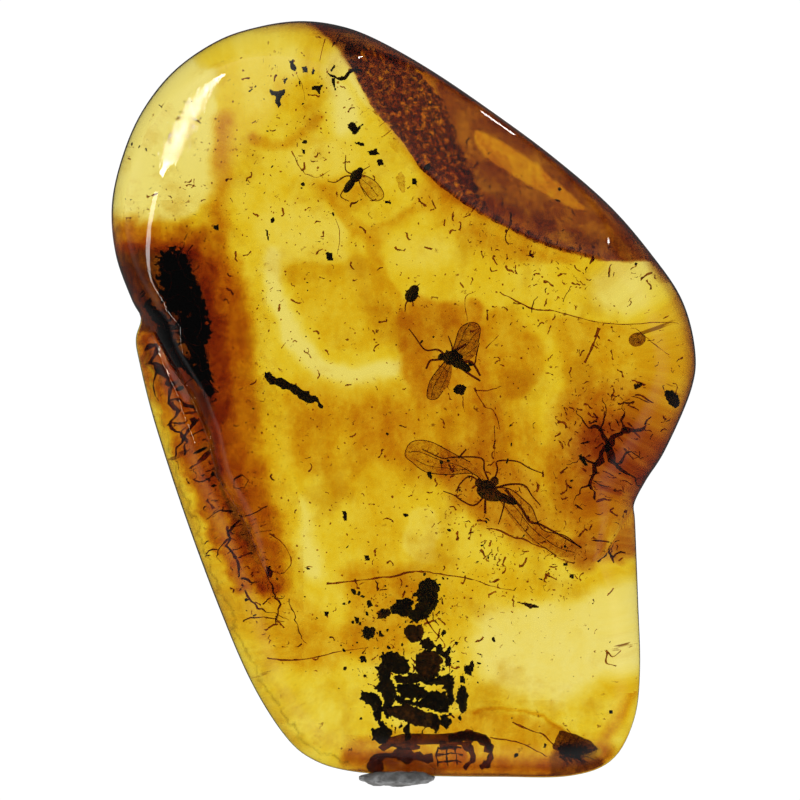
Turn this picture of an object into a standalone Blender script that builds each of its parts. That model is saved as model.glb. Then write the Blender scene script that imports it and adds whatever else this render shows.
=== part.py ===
"""A polished piece of amber with insects and bits of bark sealed inside it, lying on its flat back.

The stone is a rounded lobe folded over a lower tab. It is parted in two at mid height, so that
each insect and crumb lies in a pocket. Sizes are in millimetres and are written to the meshes in
metres, with +Z up and the origin under the middle of the stone. Places in plan are pixels of the
photograph, which place() turns into millimetres.
"""
import math
import random

import bmesh
import bpy
import numpy as np
from mathutils import Matrix, Vector

# Scale and frame
TO_METRES = 0.001
STONE_LENGTH = 44.6
PHOTO_TOP = 21
PHOTO_BOTTOM = 786
PHOTO_MIDDLE = 403.5
PIXEL = STONE_LENGTH / (PHOTO_BOTTOM - PHOTO_TOP)

# Outline of the stone in plan, clockwise from the top, in pixels of the photograph
OUTLINE = [
    (302, 21), (341, 26), (378, 40), (431, 70), (490, 110), (551, 155), (609, 205), (652, 255),
    (682, 300), (695, 350), (691, 390), (665, 450), (646, 480), (634, 504), (635, 522), (638, 600),
    (640, 670), (634, 720), (612, 760), (570, 776), (500, 777), (420, 776), (354, 772), (313, 760),
    (284, 735), (250, 680), (216, 600), (183, 510), (154, 420), (139, 360), (136, 338), (141, 318),
    (132, 300), (116, 255), (112, 205), (123, 155), (143, 110), (175, 70), (219, 40), (262, 26),
]
CURVE_STEPS = 8

# Height of the stone: a low dome, lower over the tab, with a round shoulder down to the rim
RIM_HEIGHT = 4.7
RIM_WAVE = 0.45
RIM_PHASE = 0.6
LOBE_HEIGHT = 11.4
LOBE_MIDDLE_Y = 6.0
LOBE_CURVE_X = 95.0
LOBE_CURVE_Y = 120.0
TAB_DROP = 1.5
TAB_FALL = (2.0, 17.0)
SHOULDER_TOP = 3.6
SHOULDER_BOTTOM = 3.0
SHOULDER_POWER = 2.3

# Polished facets: direction of the fall in plan, distance where it starts, height there, slope
RIGHT_FACET = ((0.5747, 0.8185), 11.5, 10.9, 0.80)
LEFT_FACET = ((-0.98, 0.20), 12.9, 10.7, 0.38)

# Creases where the lobe lies over the tab, from the notch inwards, with the depth at the notch
LEFT_CREASE = [
    (136, 314), (156, 336), (171, 364), (193, 396), (209, 434), (219, 475), (249, 525), (272, 585),
]
LEFT_CREASE_DEPTH = 2.8
RIGHT_CREASE = [(640, 494), (630, 512), (618, 530), (605, 550), (590, 562)]
RIGHT_CREASE_DEPTH = 1.8
CREASE_LIP = 1.1
CREASE_RISE = 0.35
CREASE_RUN = 1.4

# Mesh of the stone: rings that bend with the creases
SEGMENTS = 90
SHOULDER_RINGS = 5
DOME_RINGS = 6
CREASE_RINGS = (-1.1, -0.35, 0.05)
CREASE_BLEND = 12
BASE_RINGS = 4
SMOOTH_ANGLE = 28
CUT_MERGE = 1e-5

# Parting of the amber, and the room round what it seals
PARTING_HEIGHT = 5.2
GAP = 0.3
POCKET_MARGIN = 0.55
HULL_GRID = 0.24

# Insects: places in plan, heights above the parting plane, and thicknesses
LEG_RADIUS = 0.055
LEG_SIDES = 5
LEG_ROOT = 0.05
WING_THICKNESS = 0.09

FLY_BODY = [
    ((441.2, 357.0), (0.19, 0.24, 0.20), 0.10),
    ((448.5, 358.6), (0.42, 0.36, 0.34), 0.10),
    ((460.5, 364.5), (0.56, 0.25, 0.26), 0.05),
]
FLY_TURN = -35
FLY_WINGS = [
    ([(450, 358), (455, 342), (459, 330), (466, 324), (475, 323), (480, 329), (478, 343),
      (475, 355), (462, 363)], 0.22),
    ([(447, 359), (440, 367), (430, 381), (427, 397), (436, 399), (443, 391), (449, 384),
      (452, 366)], 0.18),
]
FLY_LEGS = [
    [(447, 358), (438, 350), (425, 350), (415, 337), (409, 329)],
    [(447, 359), (436, 360), (430, 361), (426, 369)],
    [(450, 358), (452, 348), (448, 336)],
    [(452, 359), (457, 350), (466, 344)],
    [(459, 364), (466, 372), (480, 381)],
    [(460, 364), (471, 362), (480, 376)],
]
FLY_LEG_DROP = -0.12

GNAT_BODY = [
    ((478.5, 482.5), (0.24, 0.26, 0.24), 0.20),
    ((494.0, 481.0), (0.26, 0.28, 0.24), 0.20),
    ((486.5, 485.0), (0.40, 0.30, 0.28), 0.15),
    ((489.0, 493.0), (0.80, 0.45, 0.42), 0.10),
    ((505.0, 498.0), (0.80, 0.26, 0.26), 0.00),
]
GNAT_TURN = -20
GNAT_WINGS = [
    ([(486, 488), (474, 474), (454, 474), (439, 474), (424, 471), (412, 462), (405, 455),
      (409, 444), (418, 440), (432, 442), (451, 452), (470, 462), (488, 482)], 0.24),
    ([(492, 486), (510, 489), (524, 500), (532, 508), (542, 529), (564, 535), (581, 548),
      (572, 556), (556, 556), (546, 549), (530, 540), (512, 520), (498, 500), (490, 495)], 0.30),
]
GNAT_LEGS = [
    [(484, 486), (470, 476), (459, 485), (457, 493)],
    [(486, 494), (474, 505), (461, 500), (454, 495), (443, 491)],
    [(486, 494), (485, 501), (485, 513)],
    [(500, 496), (504, 501), (501, 515), (498, 524)],
    [(494, 488), (509, 484), (524, 485), (532, 496), (540, 505)],
    [(490, 484), (484, 470), (481, 458), (453, 457), (442, 458), (422, 449)],
    [(492, 484), (497, 470), (497, 461), (516, 461), (529, 468), (542, 473)],
]
GNAT_LEG_DROP = -0.15

MIDGE_BODY = [
    ((356.5, 164.0), (0.20, 0.20, 0.20), 0.10),
    ((353.0, 168.0), (0.32, 0.30, 0.30), 0.10),
    ((347.5, 176.0), (0.42, 0.22, 0.22), 0.05),
]
MIDGE_TURN = 55
MIDGE_WINGS = [
    ([(353, 166), (359, 168), (368, 174), (375, 181), (374, 187), (367, 186), (357, 177)], 0.20),
]
MIDGE_LEGS = [
    [(352, 167), (345, 163), (345, 151)],
    [(352, 169), (345, 168), (337, 173), (330, 172)],
    [(349, 174), (345, 177), (341, 184), (347, 188)],
    [(354, 165), (359, 163), (364, 160)],
]
MIDGE_LEG_DROP = -0.10

BEETLE_BODY = [
    ((414.0, 290.0), (0.30, 0.26, 0.26), 0.05),
    ((411.5, 295.5), (0.42, 0.36, 0.32), 0.00),
]
BEETLE_TURN = 30
BEETLE_LEGS = [
    [(412, 296), (406, 304), (405, 312)],
    [(414, 292), (420, 298)],
]

# Single bits: place in plan, half sizes, turn in plan, height above the parting plane
HUSK = ((390, 174), (0.26, 0.62, 0.24), 8, 0.0)
FLY_DEBRIS = ((460, 389), (0.40, 0.44, 0.35), 10, -0.9)
DARK_CHIP = ((665, 396), (0.32, 0.50, 0.30), 20, 0.0)

# Bark: the wedge in the fold as a spine with widths, the thread, the twig and the tuft
WEDGE_SPINE = [
    (171, 252), (178, 290), (183, 330), (192, 370), (205, 410), (219, 450), (237, 500), (262, 565),
]
WEDGE_WIDTHS = [0.9, 1.75, 1.65, 1.25, 0.95, 0.75, 0.5, 0.18]
WEDGE_THICKNESS = 0.62
WEDGE_RISE = 0.6
WEDGE_SIDES = 10
WEDGE_BREAK = (0.16, 0.25)
THREAD_PATH = [
    (265, 372), (271, 379), (282, 383), (292, 387), (301, 393), (310, 399), (317, 399), (322, 407),
]
THREAD_RADII = [0.10, 0.24, 0.26, 0.20, 0.27, 0.24, 0.20, 0.08]
TWIG_SIDES = 7
TWIG_PATH = [(385, 742), (411, 738), (439, 739), (462, 735), (478, 736), (488, 742), (490, 750)]
TWIG_RADII = [0.30, 0.33, 0.30, 0.30, 0.27, 0.24, 0.14]
BRANCH_PATH = [(381, 749), (391, 741), (401, 746), (420, 747)]
BRANCH_RADII = [0.22, 0.26, 0.22, 0.12]
TUFT_OUTLINE = [(552, 748), (559, 730), (575, 734), (590, 741), (598, 749), (588, 753), (568, 754)]
TUFT_THICKNESS = 0.30

# Loose crumbs: place in plan, half sizes, turn in plan, height above the parting plane
CRUMBS = [
    ((293, 67), (0.18, 0.40, 0.20), 0, 0.0),
    ((283, 88), (0.42, 0.26, 0.22), -15, 0.1),
    ((305, 70), (0.22, 0.20, 0.18), 0, -0.1),
    ((320, 91), (0.24, 0.42, 0.22), 5, 0.0),
    ((341, 77), (0.24, 0.24, 0.22), 0, 0.1),
    ((351, 129), (0.38, 0.42, 0.30), 20, 0.0),
    ((368, 151), (0.40, 0.26, 0.24), -30, 0.1),
    ((334, 258), (0.30, 0.28, 0.25), 0, 0.0),
    ((428, 591), (0.62, 0.72, 0.45), 15, 0.2),
    ((403, 605), (0.56, 0.58, 0.42), -10, -0.9),
    ((413, 629), (0.66, 0.52, 0.40), 0, 0.4),
    ((368, 605), (0.32, 0.44, 0.28), 20, 0.2),
    ((359, 621), (0.26, 0.36, 0.24), -15, -0.7),
    ((428, 661), (1.05, 1.15, 0.50), 0, -0.5),
    ((448, 652), (0.28, 0.60, 0.30), 10, 0.9),
    ((470, 667), (0.38, 0.44, 0.34), 0, 0.0),
    ((388, 672), (0.48, 0.66, 0.40), 5, 0.3),
    ((374, 704), (0.34, 0.98, 0.28), -14, -0.6),
    ((411, 714), (1.35, 0.42, 0.34), -20, 0.6),
    ((439, 701), (1.00, 0.62, 0.40), 10, -1.2),
    ((463, 698), (0.36, 0.74, 0.34), -5, 0.3),
    ((381, 733), (0.50, 0.46, 0.32), 30, 0.6),
]
CRUMB_DENT = 0.24
CRUMB_BUMP = 0.07
CRUMB_COARSE = 0.45
CRUMB_SEED = 11

# Crust under the right facet: a curved plate with a gap in it
CRUST_EDGE = [
    (370, 84), (376, 100), (388, 122), (406, 148), (438, 184), (480, 211), (525, 233), (562, 245),
    (592, 247),
]
CRUST_INSET = 1.75
CRUST_STEPS = 17
CRUST_SHARES = (0.0, 0.5, 1.0)
CRUST_DEPTH = 1.9
CRUST_HIGHEST = 8.5
CRUST_THICKNESS = 0.45
CRUST_GAP = [(478, 138), (525, 162), (552, 184), (572, 203), (545, 196), (505, 174)]

# Grey matrix in a pit in the lower rim
CHIP_MIDDLE = (397, 778)
CHIP_SIZES = (2.30, 0.47, 1.70)
CHIP_HEIGHT = 5.0
CHIP_GAP = 0.32
CHIP_MESH = (14, 8)

COLOURS = {
    "amber": ((0.86, 0.55, 0.05), 0.05),
    "chitin": ((0.06, 0.03, 0.015), 0.45),
    "bark": ((0.035, 0.022, 0.014), 0.80),
    "crust": ((0.22, 0.09, 0.02), 0.60),
    "tuft": ((0.25, 0.16, 0.05), 0.60),
    "matrix": ((0.20, 0.20, 0.18), 0.85),
}
AMBER_ALPHA = 0.45
AMBER_IOR = 1.54
AMBER_ABSORBS = (0.95, 0.86, 0.0)
AMBER_DENSITY = 121.0


def place(pixel):
    """Give the place in plan, in millimetres, of a pixel of the photograph."""
    return ((pixel[0] - PHOTO_MIDDLE) * PIXEL, (PHOTO_MIDDLE - pixel[1]) * PIXEL)


def make_material(name):
    """Make a plain material from COLOURS."""
    colour, roughness = COLOURS[name]
    material = bpy.data.materials.new(name)
    material.use_nodes = True
    shader = material.node_tree.nodes["Principled BSDF"]
    shader.inputs["Base Color"].default_value = (*colour, 1.0)
    shader.inputs["Roughness"].default_value = roughness
    shader.inputs["Metallic"].default_value = 0.0
    return material


def make_clear(material):
    """Make the amber's material see-through, with the absorption that turns it golden."""
    tree = material.node_tree
    shader = tree.nodes["Principled BSDF"]
    shader.inputs["Transmission Weight"].default_value = 1.0
    shader.inputs["IOR"].default_value = AMBER_IOR
    shader.inputs["Alpha"].default_value = AMBER_ALPHA
    absorption = tree.nodes.new("ShaderNodeVolumeAbsorption")
    absorption.inputs["Color"].default_value = (*AMBER_ABSORBS, 1.0)
    absorption.inputs["Density"].default_value = AMBER_DENSITY
    tree.links.new(absorption.outputs["Volume"], tree.nodes["Material Output"].inputs["Volume"])


def make_object(name, solid, material, smooth_angle=None):
    """Turn a bmesh in millimetres into a named object in metres, with its faces pointing out."""
    bmesh.ops.recalc_face_normals(solid, faces=solid.faces)
    if solid.calc_volume(signed=True) < 0:
        bmesh.ops.reverse_faces(solid, faces=solid.faces)
    bmesh.ops.scale(solid, vec=(TO_METRES, TO_METRES, TO_METRES), verts=solid.verts)
    mesh = bpy.data.meshes.new(name)
    solid.to_mesh(mesh)
    solid.free()
    item = bpy.data.objects.new(name, mesh)
    bpy.context.collection.objects.link(item)
    if material:
        mesh.materials.append(material)
    if smooth_angle:
        mesh.shade_smooth()
        mesh.set_sharp_from_angle(angle=math.radians(smooth_angle))
    return item


def closed_curve(points):
    """Sample a smooth closed curve through the points."""
    here = np.array(points, dtype=float)
    before = np.roll(here, 1, axis=0)
    after = np.roll(here, -1, axis=0)
    beyond = np.roll(here, -2, axis=0)
    samples = []
    for step in range(CURVE_STEPS):
        t = step / CURVE_STEPS
        samples.append(0.5 * (2 * here + (after - before) * t
                              + (2 * before - 5 * here + 4 * after - beyond) * t ** 2
                              + (3 * here - before - 3 * after + beyond) * t ** 3))
    return np.stack(samples, axis=1).reshape(-1, 2)


def outline_radius(angle):
    """Give the distance from the middle to the outline at each angle."""
    curve = closed_curve([place(pixel) for pixel in OUTLINE])
    angles = np.arctan2(curve[:, 1], curve[:, 0])
    angles, reach = sorted_pair(angles, np.hypot(curve[:, 0], curve[:, 1]))
    return np.interp(angle, angles, reach, period=2 * math.pi)


def sorted_pair(keys, values):
    """Sort two arrays by the first."""
    order = np.argsort(keys)
    return keys[order], values[order]


def smoothstep(low, high, value):
    """Rise smoothly from 0 at low to 1 at high."""
    t = np.clip((value - low) / (high - low), 0.0, 1.0)
    return t * t * (3 - 2 * t)


def crease_drop(x, y, path, depth, side):
    """Give how far the tab lies below the lobe beside a crease.

    The path starts at the notch in the rim. The drop is full there and fades to nothing at the
    path's inner end. side is +1 where the tab is on the left of the path and -1 on its right.
    """
    points = [Vector(place(pixel)) for pixel in path]
    lengths = [(b - a).length for a, b in zip(points, points[1:])]
    total = sum(lengths)
    nearest = np.full(x.shape, np.inf)
    signed = np.zeros(x.shape)
    along = np.zeros(x.shape)
    start = 0.0
    for a, b, length in zip(points, points[1:], lengths):
        step = (b - a) / length
        run = np.clip((x - a.x) * step.x + (y - a.y) * step.y, 0, length)
        away_x = x - (a.x + run * step.x)
        away_y = y - (a.y + run * step.y)
        distance = np.hypot(away_x, away_y)
        closer = distance < nearest
        nearest = np.where(closer, distance, nearest)
        turn = step.x * away_y - step.y * away_x
        signed = np.where(closer, np.sign(turn) * distance * side, signed)
        along = np.where(closer, (start + run) / total, along)
        start += length
    lip = np.clip((signed + CREASE_LIP) / CREASE_LIP, 0, 1)
    edge = 1 - np.sqrt(1 - lip * lip)
    rise = CREASE_RISE * (1 - np.exp(-np.maximum(signed, 0) / CREASE_RUN))
    return depth * (1 - along) * (edge - rise)


def dome_height(x, y):
    """Give the height of the stone's top before its shoulder and facets."""
    height = LOBE_HEIGHT - x ** 2 / (2 * LOBE_CURVE_X) - (y - LOBE_MIDDLE_Y) ** 2 / (2 * LOBE_CURVE_Y)
    height = height - TAB_DROP * smoothstep(*TAB_FALL, -y)
    height = height - crease_drop(x, y, LEFT_CREASE, LEFT_CREASE_DEPTH, -1)
    return height - crease_drop(x, y, RIGHT_CREASE, RIGHT_CREASE_DEPTH, 1)


def facet_height(x, y, facet):
    """Give the height of a facet's plane."""
    (across, up), start, height, slope = facet
    return height - slope * (x * across + y * up - start)


def crest_radius(angle, radius):
    """Give where the mesh's rings bend at each angle: along the creases, or else round the shoulder."""
    crest = radius - SHOULDER_TOP
    for path in (LEFT_CREASE, RIGHT_CREASE):
        points = np.array([place(pixel) for pixel in path])
        turns = np.arctan2(points[:, 1], points[:, 0]) % (2 * math.pi)
        turns, reach = sorted_pair(turns, np.hypot(points[:, 0], points[:, 1]))
        outside = np.maximum(turns[0] - angle, angle - turns[-1])
        share = 1 - smoothstep(0, math.radians(CREASE_BLEND), outside)
        crest = crest + share * (np.interp(angle, turns, reach) - crest)
    return np.minimum(crest, radius - CREASE_LIP)


def shoulder_height(x, y, inset, rim):
    """Give the height of the top, which rolls over from the dome down to the rim."""
    share = np.clip(1 - inset / SHOULDER_TOP, 0, 1)
    lift = (1 - share ** SHOULDER_POWER) ** (1 / SHOULDER_POWER)
    return rim + (dome_height(x, y) - rim) * lift


def base_ring(radius, rim, bend):
    """Give the reach and height of a ring under the rim, bent inwards by an angle."""
    reach = radius - SHOULDER_BOTTOM * (1 - max(math.cos(bend), 0) ** (2 / SHOULDER_POWER))
    return reach, rim * (1 - math.sin(bend) ** (2 / SHOULDER_POWER))


def stone_solid():
    """Make the whole stone: rings from the middle of the dome to the rim and down to the flat base."""
    angle = np.arange(SEGMENTS) * 2 * math.pi / SEGMENTS
    radius = outline_radius(angle)
    rim = RIM_HEIGHT + RIM_WAVE * np.cos(2 * angle + RIM_PHASE)
    crest = crest_radius(angle, radius)
    reaches = [(crest - CREASE_LIP) * ring / DOME_RINGS for ring in range(1, DOME_RINGS)]
    reaches += [crest + offset for offset in CREASE_RINGS]
    for ring in range(1, SHOULDER_RINGS + 1):
        share = math.sin(ring / SHOULDER_RINGS * math.pi / 2)
        reaches.append(reaches[DOME_RINGS + 1] * (1 - share) + radius * share)
    rings = [(reach, shoulder_height(reach * np.cos(angle), reach * np.sin(angle), radius - reach, rim))
             for reach in reaches]
    for ring in range(1, BASE_RINGS + 1):
        rings.append(base_ring(radius, rim, ring / BASE_RINGS * math.pi / 2))
    solid = bmesh.new()
    crown = solid.verts.new((0, 0, float(dome_height(np.zeros(1), np.zeros(1))[0])))
    loops = []
    for reach, height in rings:
        points = zip(reach * np.cos(angle), reach * np.sin(angle), height)
        loops.append([solid.verts.new(point) for point in points])
    for vertex in loops[-1]:
        vertex.co.z = 0.0
    for index in range(SEGMENTS):
        following = (index + 1) % SEGMENTS
        solid.faces.new((crown, loops[0][index], loops[0][following]))
        for inner, outer in zip(loops, loops[1:]):
            solid.faces.new((inner[index], outer[index], outer[following], inner[following]))
    solid.faces.new(loops[-1][::-1])
    for (across, up), start, height, slope in (RIGHT_FACET, LEFT_FACET):
        slice_off(solid, (across * start, up * start, height), (across * slope, up * slope, 1), True)
    return solid


def slice_off(solid, point, normal, take_outer):
    """Cut a solid with a plane, take one side away and close the cut with a flat face."""
    geometry = solid.verts[:] + solid.edges[:] + solid.faces[:]
    cut_edges = bmesh.ops.bisect_plane(
        solid, geom=geometry, dist=CUT_MERGE, plane_co=point, plane_no=normal,
        clear_outer=take_outer, clear_inner=not take_outer,
    )["geom_cut"]
    edges = [item for item in cut_edges if isinstance(item, bmesh.types.BMEdge)]
    bmesh.ops.contextual_create(solid, geom=edges)


def amber_half(name, height, take_above, material):
    """Cut the stone level at a height and keep one side of it."""
    solid = stone_solid()
    slice_off(solid, (0, 0, height), (0, 0, 1), take_above)
    return make_object(name, solid, material, smooth_angle=SMOOTH_ANGLE)


def ellipsoid(centre, sizes, turn, segments=8, rings=6):
    """Make a closed ellipsoid, turned in plan by an angle in degrees."""
    solid = bmesh.new()
    matrix = Matrix.Translation(centre) @ Matrix.Rotation(math.radians(turn), 4, "Z")
    matrix = matrix @ Matrix.Diagonal((*sizes, 1))
    bmesh.ops.create_uvsphere(solid, u_segments=segments, v_segments=rings, radius=1, matrix=matrix)
    return solid


def tube(points, radii, sides):
    """Make a closed tube along a path with a radius at each point."""
    solid = bmesh.new()
    path = [Vector(point) for point in points]
    loops = []
    for index, (point, radius) in enumerate(zip(path, radii)):
        ahead = path[min(index + 1, len(path) - 1)]
        behind = path[max(index - 1, 0)]
        run = (ahead - behind).normalized()
        across = run.cross(Vector((0, 0, 1))).normalized()
        up = across.cross(run)
        loop = []
        for side in range(sides):
            turn = 2 * math.pi * side / sides
            loop.append(solid.verts.new(point + radius * (across * math.cos(turn) + up * math.sin(turn))))
        loops.append(loop)
    for near, far in zip(loops, loops[1:]):
        for side in range(sides):
            following = (side + 1) % sides
            solid.faces.new((near[side], near[following], far[following], far[side]))
    solid.faces.new(loops[0][::-1])
    solid.faces.new(loops[-1])
    return solid


def blade(outline, low, thickness):
    """Make a flat closed blade from an outline in plan."""
    solid = bmesh.new()
    face = solid.faces.new([solid.verts.new((x, y, low)) for x, y in outline])
    raised = bmesh.ops.extrude_face_region(solid, geom=[face])["geom"]
    vertices = [item for item in raised if isinstance(item, bmesh.types.BMVert)]
    bmesh.ops.translate(solid, verts=vertices, vec=(0, 0, thickness))
    return solid


def fuse(name, solids, material):
    """Join overlapping closed shapes into one closed solid."""
    parts = bpy.data.collections.new(name + "_parts")
    bpy.context.scene.collection.children.link(parts)
    body = make_object(name, solids[0], material)
    for solid in solids[1:]:
        part = make_object(name + "_part", solid, None)
        bpy.context.collection.objects.unlink(part)
        parts.objects.link(part)
    union = body.modifiers.new("Union", "BOOLEAN")
    union.operation = "UNION"
    union.operand_type = "COLLECTION"
    union.collection = parts
    union.solver = "EXACT"
    union.use_self = True
    bpy.context.view_layer.update()
    joined = bpy.data.meshes.new_from_object(body.evaluated_get(bpy.context.evaluated_depsgraph_get()))
    body.modifiers.remove(union)
    body.data = joined
    for part in list(parts.objects):
        bpy.data.objects.remove(part)
    bpy.data.collections.remove(parts)
    return body


def make_insect(name, body, turn, wings, legs, drop, material):
    """Make an insect from ellipsoids for its body, blades for its wings and tubes for its legs."""
    solids = []
    for middle, sizes, lift in body:
        solids.append(ellipsoid((*place(middle), PARTING_HEIGHT + lift), sizes, turn))
    for outline, lift in wings:
        solids.append(blade([place(pixel) for pixel in outline], PARTING_HEIGHT + lift, WING_THICKNESS))
    for path in legs:
        points = []
        for index, pixel in enumerate(path):
            points.append((*place(pixel), PARTING_HEIGHT + (drop if index else LEG_ROOT)))
        solids.append(tube(points, [LEG_RADIUS] * len(points), LEG_SIDES))
    return fuse(name, solids, material)


def make_crumb(name, pixel, sizes, turn, lift, material, generator):
    """Make a rough, angular crumb."""
    solid = bmesh.new()
    bmesh.ops.create_icosphere(solid, subdivisions=2 if max(sizes) > CRUMB_COARSE else 1, radius=1)
    for vertex in solid.verts:
        vertex.co *= 1 + generator.uniform(-CRUMB_DENT, CRUMB_BUMP)
    x, y = place(pixel)
    matrix = Matrix.Translation((x, y, PARTING_HEIGHT + lift))
    matrix = matrix @ Matrix.Rotation(math.radians(turn), 4, "Z") @ Matrix.Diagonal((*sizes, 1))
    bmesh.ops.transform(solid, matrix=matrix, verts=solid.verts)
    return make_object(name, solid, material)


def make_wedge(material, generator):
    """Make the bark wedge: a tapering blade of bark along the fold, broken along its sides."""
    points = []
    for index, pixel in enumerate(WEDGE_SPINE):
        lift = WEDGE_RISE * (1 - index / len(WEDGE_SPINE))
        points.append((*place(pixel), PARTING_HEIGHT + lift))
    solid = tube(points, WEDGE_WIDTHS, WEDGE_SIDES)
    for vertex in solid.verts:
        level = min(points, key=lambda point: (vertex.co - Vector(point)).length)[2]
        vertex.co.z = level + (vertex.co.z - level) * WEDGE_THICKNESS
        vertex.co.x += generator.uniform(-WEDGE_BREAK[0], WEDGE_BREAK[0])
        vertex.co.y += generator.uniform(-WEDGE_BREAK[1], WEDGE_BREAK[1])
    return make_object("bark_wedge", solid, material)


def make_cord(name, path, radii, material, branch=None):
    """Make a twig or thread along a path in plan, with a side branch where one is given."""
    solids = [tube([(*place(pixel), PARTING_HEIGHT) for pixel in path], radii, TWIG_SIDES)]
    if branch:
        solids.append(tube([(*place(pixel), PARTING_HEIGHT) for pixel in branch[0]], branch[1], TWIG_SIDES))
        return fuse(name, solids, material)
    return make_object(name, solids[0], material)


def crust_cell(inner, share):
    """Give a point of the crust between its inner edge and the rim, and the crust's height there."""
    x, y = inner
    angle = math.atan2(y, x)
    reach = float(outline_radius(np.array([angle]))[0]) - CRUST_INSET
    near = math.hypot(x, y)
    distance = near + (reach - near) * share
    x, y = distance * math.cos(angle), distance * math.sin(angle)
    height = float(facet_height(x, y, RIGHT_FACET)) - CRUST_DEPTH
    return Vector((x, y, min(height, CRUST_HIGHEST)))


def make_crust(material):
    """Make the crust plate under the right facet, with the gap through it."""
    edge = np.array([place(pixel) for pixel in CRUST_EDGE])
    run = np.linspace(0, len(edge) - 1, CRUST_STEPS)
    inner = np.stack([np.interp(run, range(len(edge)), edge[:, axis]) for axis in (0, 1)], axis=1)
    solid = bmesh.new()
    rows = []
    for level in (0.0, -CRUST_THICKNESS):
        for share in CRUST_SHARES:
            row = [crust_cell(point, share) + Vector((0, 0, level)) for point in inner]
            rows.append([solid.verts.new(point) for point in row])
    ring = [rows[0], rows[1], rows[2], rows[5], rows[4], rows[3]]
    for index in range(CRUST_STEPS - 1):
        for near, far in zip(ring, ring[1:] + ring[:1]):
            solid.faces.new((near[index], near[index + 1], far[index + 1], far[index]))
    for end in (0, -1):
        solid.faces.new([row[end] for row in (rows[0], rows[1], rows[4], rows[3])])
        solid.faces.new([row[end] for row in (rows[1], rows[2], rows[5], rows[4])])
    plate = make_object("crust_plate", solid, material)
    gap_outline = [place(pixel) for pixel in CRUST_GAP]
    gap = make_object("crust_gap", blade(gap_outline, 0, LOBE_HEIGHT), None)
    cut(plate, gap)
    return plate


def cut(item, cutter):
    """Cut an object with a guide that stays hidden."""
    cutter.hide_render = True
    cutter.display_type = "WIRE"
    difference = item.modifiers.new("Cut", "BOOLEAN")
    difference.operation = "DIFFERENCE"
    difference.object = cutter
    difference.solver = "EXACT"


def pocket_hull(items):
    """Make a closed convex pocket round the items, reaching the parting plane."""
    points = []
    graph = bpy.context.evaluated_depsgraph_get()
    for item in items:
        mesh = item.evaluated_get(graph).to_mesh()
        points.extend(vertex.co / TO_METRES for vertex in mesh.vertices)
    centre = sum(points, Vector()) / len(points)
    points.append(Vector((centre.x, centre.y, PARTING_HEIGHT)))
    corners = set()
    for point in points:
        for axis in range(3):
            for way in (-POCKET_MARGIN, POCKET_MARGIN):
                moved = point.copy()
                moved[axis] += way
                corners.add(tuple(round(value / HULL_GRID) for value in moved))
    solid = bmesh.new()
    for corner in sorted(corners):
        solid.verts.new([value * HULL_GRID for value in corner])
    hull = bmesh.ops.convex_hull(solid, input=solid.verts)
    spare = {
        item for item in hull["geom_interior"] + hull["geom_unused"] if isinstance(item, bmesh.types.BMVert)
    }
    bmesh.ops.delete(solid, geom=list(spare), context="VERTS")
    bmesh.ops.triangulate(solid, faces=solid.faces)
    return solid


def make_pockets(groups):
    """Make one guide that holds the pockets of all the groups of inclusions."""
    bpy.context.view_layer.update()
    pockets = bmesh.new()
    for group in groups:
        hull = pocket_hull(group)
        mesh = bpy.data.meshes.new("pocket")
        hull.to_mesh(mesh)
        hull.free()
        pockets.from_mesh(mesh)
        bpy.data.meshes.remove(mesh)
    return make_object("pockets", pockets, None)


def make_chip(name, gap, material):
    """Make the flattened grey chip, or with a gap the guide that cuts its pit."""
    sizes = [size + gap for size in CHIP_SIZES]
    solid = ellipsoid((*place(CHIP_MIDDLE), CHIP_HEIGHT), sizes, 0, *CHIP_MESH)
    return make_object(name, solid, material, smooth_angle=SMOOTH_ANGLE)


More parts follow.
